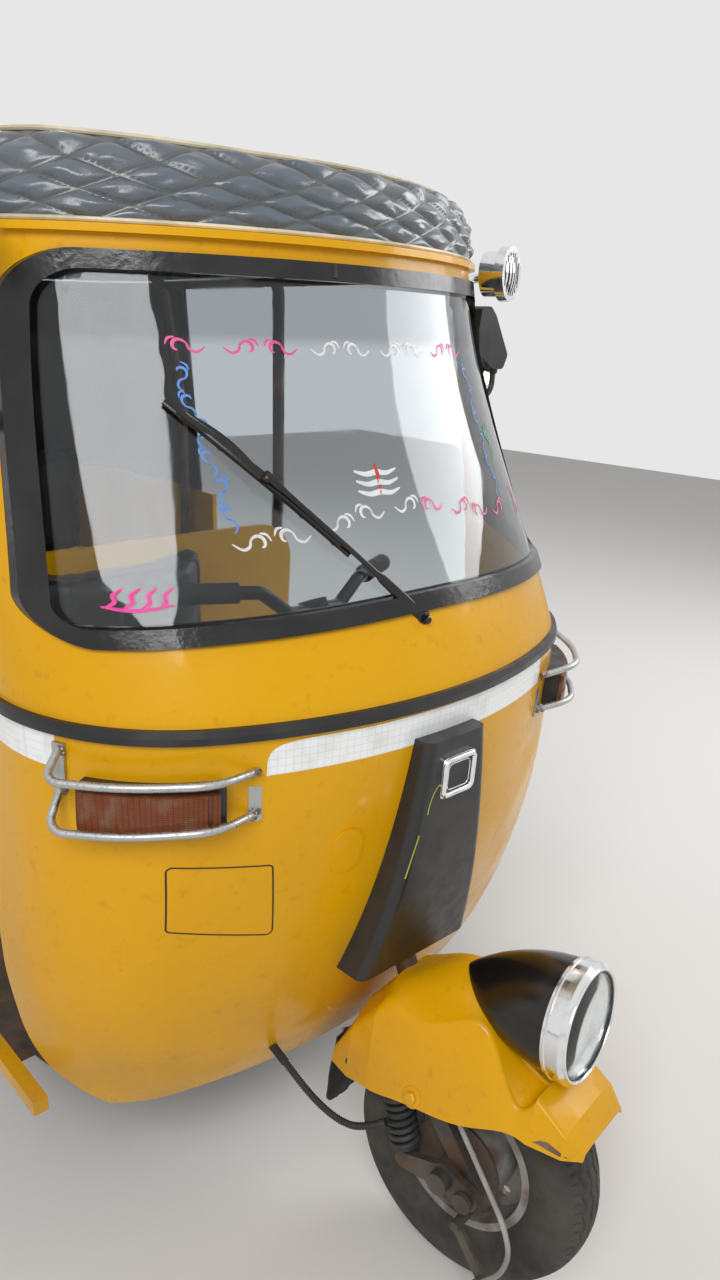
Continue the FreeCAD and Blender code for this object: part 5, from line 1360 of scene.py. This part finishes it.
def makeLampParts():
    v = lampValues
    tilt = math.radians(v["pitch"])
    centre = onFork(0, v["ahead"], v["height"])
    axis = (steerTurn @ Vector((0, -math.cos(tilt), math.sin(tilt)))).normalized()  # out through the glass
    mouth, wide = v["bowlMouth"], v["bowlRadius"]
    bowl = [(mouth, wide)] + [(mouth - v["bowlDepth"] * (1 - (r / wide) ** 2), r) for r in v["bowlRings"]]
    points, faces = turned(centre, axis, bowl, 48)
    faces.pop(-2)  # the bowl's mouth stays open
    newPiece("lamp_reflector", (points, faces), "silverBowl", "steering")
    newPiece("lamp_bulb_cap", turned(centre, axis, v["cap"], 20), "black", "steering")
    first = axis.orthogonal().normalized()
    second = axis.cross(first)

    def hoop(radius, back, half, sides):
        angles = [2 * math.pi * k / 72 for k in range(72)]
        return sweep([centre + axis * back + (first * math.cos(a) + second * math.sin(a)) * radius
                      for a in angles], half, sides, True)

    newPiece("lamp_rim_bead", gather([hoop(*bead) for bead in v["beads"]]), "chrome",
             "steering")
    newPiece("lamp_gasket", hoop(*v["gasket"]), "rubber", "steering")


def makeSpring():
    v = frontValues["spring"]
    top, low = onFork(*v["top"]), onFork(*v["low"])
    along = (low - top).normalized()
    first = along.orthogonal().normalized()
    second = along.cross(first)
    path = []
    steps = int(v["turns"] * 26)
    for k in range(steps + 1):
        t = k / steps
        a = 2 * math.pi * v["turns"] * t
        path.append(top.lerp(low, 0.03 + 0.94 * t)
                    + (first * math.cos(a) + second * math.sin(a)) * v["radius"])
    length = (low - top).length
    parts = [sweep(path, v["wire"], 9)]
    damper = [(0, 0.0195), (0.005, 0.0205), (0.0065, 0.0140),
              (length * 0.55, 0.0138), (length * 0.56, v["sleeve"]),
              (length - 0.007, v["sleeve"]), (length - 0.006, 0.0205), (length, 0.0195)]
    parts.append(turned(top, along, damper, 20))
    foot = onFork(-0.078, -0.074, 0.188)
    head = onFork(-0.078, -0.116, 0.322)
    parts.append(turned(low, along, [(-0.002, 0.013), ((foot - low).length, 0.0115)], 14))
    side = steerTurn @ Vector((1, 0, 0))
    eye = [(0, 0.010), (0.002, 0.0125), (0.026, 0.0125), (0.028, 0.010)]
    for at in (foot, head):
        parts.append(turned(at - side * 0.014, side, eye, 18))
    spring = newPiece("front_spring", gather(parts), "rubber", "steering")
    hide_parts("front_shock")


def makeHose():
    v = frontValues
    points = [Vector((x, frontAxleY + back, z)) for x, back, z in v["hose"]] + [onFork(*v["hoseEnd"])]
    length = lengthsOf(splineRun(points, 60))[-1]
    pitch, samples = v["ribPitch"], 6
    count = int(length / pitch * samples)
    path = splineRun(points, count)
    radii = []
    for k in range(count):
        reach = length * k / count
        if reach < 0.055:  # smooth sleeve where it leaves the cab
            radii.append(v["hoseRadius"] * (1.12 if reach > 0.008 else 0.95))
        elif reach > length - 0.012:
            radii.append(v["hoseRadius"] * 1.15)
        else:
            radii.append(v["hoseRadius"] * (0.90 + 0.10 * math.cos(2 * math.pi * k / samples)))
    hose = newPiece("ribbed_hose", sweep(path, radii, 12), "rubber", None, 80)
    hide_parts("brake_hose")
    start, end = [tuple(path[int(count * share)]) for share in v["bends"]]
    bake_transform(hose)
    start = path[int(samples * 2)]
    along = (start - path[0]).normalized()
    collar = [(-0.002, 0.011), (0.003, 0.0125), (0.007, 0.0118), (0.009, 0.0085), (0.020, 0.0080)]
    newPiece("hose_grommet", turned(path[0], along, collar, 16), "brass")


def makeFlap():
    v = frontValues["flap"]
    points, faces = [], []
    wide, tall = 14, 18
    for layer in (0, 1):
        for j in range(tall + 1):
            t = j / tall
            for i in range(wide + 1):
                s = 2 * i / wide - 1
                half = v["half"] * (1 - 0.2 * t)
                if t > 0.86:  # rounded lower corners
                    half *= math.sqrt(max(0.05, 1 - ((t - 0.86) / 0.14) ** 2 * 0.32))
                curl = 0.006 * s * s * t + 0.003 * noise.noise(Vector((s * 1.5, t * 3, 5)))
                ahead = v["top"][1] + (v["low"][1] - v["top"][1]) * t - curl + v["thickness"] * layer
                ragged = 0.004 * noise.noise(Vector((s * 4, t, 7))) * (t > 0.9)
                z = v["top"][2] + (v["low"][2] - v["top"][2]) * t + ragged
                points.append(onFork(half * s, ahead, z))
    stride, sheet = wide + 1, (wide + 1) * (tall + 1)
    for a, b, c, d in gridFaces(tall + 1, stride):
        faces += [(a, b, c, d), (a + sheet, d + sheet, c + sheet, b + sheet)]
    sides = [(j * stride + k, stride) for j in range(tall) for k in (0, wide)]
    ends = [(i + k, 1) for i in range(wide) for k in (0, tall * stride)]
    for a, step in sides + ends:
        faces.append((a, a + step, a + step + sheet, a + sheet))
    flap = newPiece("rubber_flap", (points, faces), "flapRubber", "steering", 50)
    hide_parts("mudflap")
    bolts = []
    bolt = [(0, 0.009), (0.0016, 0.009), (0.0018, 0.0058), (0.0055, 0.0058), (0.0062, 0.0045)]
    back = steerTurn @ Vector((0, 1, 0))
    for x in (-0.028, 0.028):
        at = onFork(x, v["top"][1] - v["thickness"] - 0.0005, 0.288)
        bolts.append(turned(at, back, bolt, 12))
    newPiece("flap_bolts", gather(bolts), "steel", "steering")


def sideOn(skin, ahead, z, lift):
    # the place on the fender's right side, and the way out from it
    start = onFork(-0.25, ahead, z)
    way = steerTurn @ Vector((1, 0, 0))
    place, normal, _, _ = skin.ray_cast(start, way)
    if place is None:
        return None, None
    if normal.dot(way) > 0:
        normal = -normal
    return place + normal * lift, normal


fenderValues = {
    "bolt": (-0.060, 0.322), "holes": [(-0.202, 0.292, 0.0026, 0.006), (0.088, 0.4335, 0.0022, 0.0022)],
    "washer": [(0, 0.0165), (0.0022, 0.0165), (0.0030, 0.0150), (0.0030, 0.0105)],
    "head": [(0.001, 0.0105), (0.0068, 0.0105), (0.0085, 0.0085), (0.0088, 0.003)],
    "chip": [(0.128, 0.3475, 0.0), (0.138, 0.3475, 0.006), (0.148, 0.3455, 0.0095), (0.158, 0.3440, 0.008),
             (0.168, 0.3430, 0.0055), (0.178, 0.3425, 0.0)],  # place ahead, height, how far up it reaches
}


def makeFenderBits():
    v = fenderValues
    skin = skinOf("front_fender")
    place, out = sideOn(skin, *v["bolt"], 0)
    parts = [turned(place - out * 0.001, out, v["washer"], 24), turned(place, out, v["head"], 6)]
    newPiece("fender_bolt", gather(parts), "fender", "steering", 30)
    # flat dark discs in dull rubber stand in for the holes through the sheet: painted shade of the hollow
    # behind them
    dark = []
    for ahead, z, wide, tall in v["holes"]:
        place, out = sideOn(skin, ahead, z, 0.0003)
        if place is None:
            continue
        along = steerTurn @ Vector((0, -1, 0))
        up = out.cross(along)
        ring = [place + along * wide * math.cos(a) + up * tall * math.sin(a)
                for a in [2 * math.pi * k / 16 for k in range(16)]]
        dark.append((ring, [tuple(range(16))]))
    newPiece("fender_hole_shade", gather(dark), "rubber", "steering")
    chip = []
    for ahead, z, rise in v["chip"]:
        for step in (0, 1):
            place, out = sideOn(skin, ahead, z + rise * step + 0.0005, 0.00035)
            if place is None:
                place, out = sideOn(skin, ahead, z + 0.004 + rise * step, 0.00035)
            chip.append(place)
    if all(at is not None for at in chip):
        newPiece("paint_chip", (chip, gridFaces(len(v["chip"]), 2)), "primer", "steering")


makeLampParts()
makeSpring()
makeHose()
makeFlap()
makeFenderBits()
print("front assembly is dressed")

# cab fittings: wiper, cowl trim, lamp guards, mirrors and seal joint

wiperValues = {
    "pivot": (-0.017, 1.036), "hook": (-0.205, 1.219), "low": (-0.118, 1.128), "high": (-0.305, 1.321),
    "pivotLift": 0.022, "armLift": 0.030, "hookLift": 0.026, "steps": 33,
    "lipLift": 0.0048, "spineLift": 0.0095, "bridgeLift": 0.0125, "bridgeRise": 0.009,
    # half width and half height of the blade's bars
    "lip": (0.0012, 0.0036), "spine": (0.0040, 0.0018), "claw": (0.0046, 0.0038),
    "claws": (3, 9, 23, 29), "clawFoot": 0.0075,  # steps along the blade
    "fin": (17, 30), "finSide": 0.006, "finHalf": 0.0015,
    "boss": [(0, 0.0155), (0.006, 0.0155), (0.010, 0.012), (0.016, 0.0095)],
    "knob": [(0, 0.0105), (0.001, 0.0125), (0.013, 0.0125), (0.016, 0.009), (0.0165, 0.004)],
    "nut": [(0, 0.0062), (0.007, 0.0062), (0.0085, 0.0045)],
}


def boxed(path, wide, tall, sideways):
    # a bar of rounded box section along the path, its half width and half height given for each point
    points = []
    for i, at in enumerate(path):
        along = (path[min(i + 1, len(path) - 1)] - path[max(i - 1, 0)]).normalized()
        side = (sideways - along * sideways.dot(along)).normalized()
        up = side.cross(along)
        for a, b in ((-1, -0.55), (-0.7, -1), (0.7, -1), (1, -0.55),
                     (1, 0.55), (0.7, 1), (-0.7, 1), (-1, 0.55)):
            points.append(at + side * a * wide[i] + up * b * tall[i])
    return points, ringFaces(len(path), 8)


def makeWiper():
    v = wiperValues
    glass = skinOf("windscreen_glass", "windscreen_seal", "windscreen_surround", "belt_strip", "apron")

    def onScreen(x, z, lift):
        at = frontOn(glass, x, z, lift)
        if at is None:  # beside the skins the nearest place serves
            near = glass.find_nearest(Vector((x, -0.80, z)))[0]
            at = Vector((x, near.y - lift, z))
        return at

    def over(share, a, b, lift):
        return onScreen(a[0] + (b[0] - a[0]) * share, a[1] + (b[1] - a[1]) * share, lift)

    low, high = v["low"], v["high"]
    middle = over(0.5, low, high, 0.0)
    out = (over(0.5, low, high, 0.01) - middle).normalized()
    along = (over(1, low, high, 0) - over(0, low, high, 0)).normalized()
    across = along.cross(out).normalized()
    count = v["steps"]
    parts = []
    blade = [over(k / (count - 1), low, high, 0.0) for k in range(count)]
    for k in range(1, count - 1):  # drop the jump where the blade passes off the glass
        blade[k] = blade[k].lerp((blade[k - 1] + blade[k + 1]) / 2, 0.6)
    for bar in ("lip", "spine"):
        wide, tall = v[bar]
        path = [at + out * v[bar + "Lift"] for at in blade]
        parts.append(boxed(path, [wide] * count, [tall] * count, across))
    bow = [2 * abs(k / (count - 1) - 0.5) for k in range(count)]  # 0 in the blade's middle, 1 at its ends
    bridge = [at + out * (v["bridgeLift"] + v["bridgeRise"] * (1 - b ** 1.6)) for at, b in zip(blade, bow)]
    width = [0.0028 + 0.0042 * (1 - b) for b in bow]
    parts.append(boxed(bridge[2:-2], width[2:-2], [0.0022] * (count - 4), across))
    wide, tall = v["claw"]
    for k in v["claws"]:
        parts.append(boxed([blade[k] + out * v["clawFoot"], bridge[k]], [wide] * 2, [tall] * 2, across))
    start, end = v["fin"]
    many = end - start
    spoiler = [blade[start + k] + out * (0.012 + 0.007 * math.sin(math.pi * k / (many - 1)))
               + across * v["finSide"] for k in range(many)]
    fin = [0.0045 * math.sin(math.pi * (k + 0.5) / many) + 0.0008 for k in range(many)]
    parts.append(boxed(spoiler, [v["finHalf"]] * many, fin, out))
    pivot = onScreen(*v["pivot"], v["pivotLift"])
    base = onScreen(*v["pivot"], 0.0)
    axle = (pivot - base).normalized()
    hook = over(0.5, low, high, v["hookLift"])
    clear = onScreen(*v["hook"], v["armLift"])
    arm = smoothRun([pivot + axle * 0.004, pivot.lerp(clear, 0.28) + axle * 0.010,
                     pivot.lerp(clear, 0.62) + axle * 0.008, clear, hook], 8)
    reach = lengthsOf(arm)
    wide, tall = [], []
    for d in reach:
        t = d / reach[-1]
        wide.append(0.0085 - 0.0022 * t / 0.3 if t < 0.3 else 0.0036 if t < 0.9 else 0.0050)
        tall.append(0.0052 - 0.0014 * t / 0.3 if t < 0.3 else 0.0019)
    side = (clear - pivot).cross(axle).normalized()
    parts.append(boxed(arm, wide, tall, side))
    parts.append(boxed([hook - across * 0.007, hook + across * 0.007], [0.006] * 2, [0.0055] * 2, along))
    parts.append(turned(base - axle * 0.004, axle, v["boss"], 20))
    parts.append(turned(pivot - axle * 0.008, axle, v["knob"], 20))
    parts.append(turned(pivot + axle * 0.008, axle, v["nut"], 6))
    wiper = newPiece("wiper_arm_and_blade", gather(parts), "blackPaint", smooth=35)
    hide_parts("wiper")


cowlValues = {
    "badge": {"half": 0.034, "low": 0.785, "high": 0.849, "rim": 0.0042, "corner": 0.008},
    "line": [[(-0.078, 0.665), (-0.0715, 0.700), (-0.064, 0.735)],
             [(-0.052, 0.765), (-0.049, 0.784), (-0.040, 0.803), (-0.026, 0.812)],
             [(-0.012, 0.818), (0.0, 0.821), (0.014, 0.823), (0.020, 0.815), (0.0215, 0.801)]],
}


def makeCowlTrim():
    skin = skinOf("column_cowl", "cowl_badge")
    v = cowlValues["badge"]
    corners = [(-v["half"], v["low"]), (v["half"], v["low"]), (v["half"], v["high"]),
               (-v["half"], v["high"])]

    def loopOf(inset):
        inner = [(x - math.copysign(inset, x), z + (inset if z < 0.8 else -inset)) for x, z in corners]
        return densify(roundedLoop(inner, v["corner"]), 0.004)

    def lifted(loop, lift):
        return [frontOn(skin, at.x, at.y, lift) for at in loop]

    rim = sweep(lifted(loopOf(0.0042), 0.0012), v["rim"], 10, True)
    inner = sweep(lifted(loopOf(0.0115), 0.0004), 0.0010, 8, True)
    newPiece("badge_frame", gather([rim, inner]), "chrome")
    field = []
    for j in range(9):
        for i in range(9):
            x = (v["half"] - 0.0075) * (i / 4 - 1)
            z = v["low"] + 0.0075 + (v["high"] - v["low"] - 0.015) * j / 8
            field.append(frontOn(skin, x, z, 0.0004))
    newPiece("badge_field", (field, gridFaces(9, 9)), "black")
    cowl = skinOf("column_cowl")
    parts = [skinStroke(cowl, line, 0.0022, 0.0004, False) for line in cowlValues["line"]]
    newPiece("cowl_pin_line", gather(parts), "pinLine")


weldValues = {
    "spots": [(-0.480, 0.902), (-0.480, 0.845), (-0.293, 0.877), (-0.293, 0.814),
              (-0.470, 0.898), (-0.470, 0.842), (-0.303, 0.880), (-0.303, 0.817)],
    "perSpot": 5, "spread": (0.004, 0.006), "size": (0.0022, 0.0036), "seed": 7,
}


def makeGuardWelds():
    v = weldValues
    random.seed(v["seed"])
    skin = skinOf("indicator_guards")
    parts = []
    for side in (-1, 1):
        for x, z in v["spots"]:
            for _ in range(v["perSpot"]):
                across, up = [random.uniform(-reach, reach) for reach in v["spread"]]
                spot = frontOn(skin, side * -x + across, z + up, 0.0)
                if spot is None:
                    continue
                size = random.uniform(*v["size"])
                out = Vector((random.uniform(-0.3, 0.3), -1, random.uniform(-0.3, 0.3)))
                bead = [(-size * 0.6, size * 0.8), (0, size), (size * 0.5, size * 0.75),
                        (size * 0.8, size * 0.3)]
                parts.append(turned(spot, out, bead, 8))
    newPiece("guard_welds", gather(parts), "weld", smooth=80)


def makeLensBars():
    # a darker rib that parts each amber lens
    skin = skinOf("indicator_lenses")
    ribX, ribHeights, ribWidth = 0.366, (0.812, 0.838, 0.863), 0.0032
    parts = [skinStroke(skin, [(side * ribX, z) for z in ribHeights], ribWidth, 0.0006, False)
             for side in (-1, 1)]
    newPiece("lens_bars", gather(parts), "lensDark")


mirrorValues = {"centre": (0.536, 1.412), "reach": (0.09, 0.12), "fill": 0.86, "rings": 6, "around": 28,
                "searchSteps": 26, "lift": 0.0006}


def makeMirrorGlass():
    skin = skinOf("mirrors")
    v = mirrorValues
    rings, around, tries = v["rings"], v["around"], v["searchSteps"]
    points, faces = [], []

    def fromBehind(side, angle, reach):
        x = side * v["centre"][0] + v["reach"][0] * math.cos(angle) * reach
        z = v["centre"][1] + v["reach"][1] * math.sin(angle) * reach
        return x, z, skin.ray_cast(Vector((x, 1.5, z)), Vector((0, -1, 0)))[0]

    for side in (-1, 1):
        start = len(points)
        for j in range(rings + 1):
            for k in range(around):
                a = 2 * math.pi * k / around
                found = [step for step in range(tries, 0, -1) if fromBehind(side, a, step / tries)[2]]
                reach = found[0] / tries if found else 0.0
                x, z, hit = fromBehind(side, a, reach * (v["fill"] * j / rings))
                points.append(Vector((x, (hit.y if hit else -0.55) + v["lift"], z)))
        faces += [tuple(v + start for v in quad) for quad in ringFaces(rings + 1, around, False, False)]
    newPiece("mirror_glass", (points, faces), "mirrorGlass")


def makeSealJoint():
    # the butt joint in the seal's top run
    skin = skinOf("windscreen_seal")
    bead = [(-0.002, 0.0030), (0.0006, 0.0026), (0.0014, 0.0012)]
    jointX, lowest, gap = -0.055, 1.486, 0.003
    spots = [frontOn(skin, jointX, lowest + gap * k, 0.0008) for k in range(9)]
    parts = [turned(spot, Vector((0.2, -1, 0)), bead, 8) for spot in spots if spot is not None]
    newPiece("seal_joint", gather(parts), "rubber", smooth=60)


matValues = {"left": -0.40, "wide": 0.80, "front": -0.62, "long": 0.46, "across": 60, "along": 40,
             "rib": 0.0014, "lift": 0.0012}


def makeFloorMat():
    skin = skinOf("floor_pan")
    v = matValues
    points = []
    for j in range(v["along"] + 1):
        for i in range(v["across"] + 1):
            x, y = v["left"] + v["wide"] * i / v["across"], v["front"] + v["long"] * j / v["along"]
            place = skin.ray_cast(Vector((x, y, 0.5)), Vector((0, 0, -1)))[0]
            lift = v["lift"] + v["rib"] * (i % 2) + 0.0012 * noise.noise(Vector((x * 6, y * 6, 0)))
            points.append(place + Vector((0, 0, lift)) if place else None)
    mat = onSkin(points, gridFaces(v["along"] + 1, v["across"] + 1))
    newPiece("floor_mat", mat, "rubber")


makeWiper()
makeCowlTrim()
makeGuardWelds()
makeLensBars()
makeMirrorGlass()
makeSealJoint()
makeFloorMat()
print("cab fittings are on")
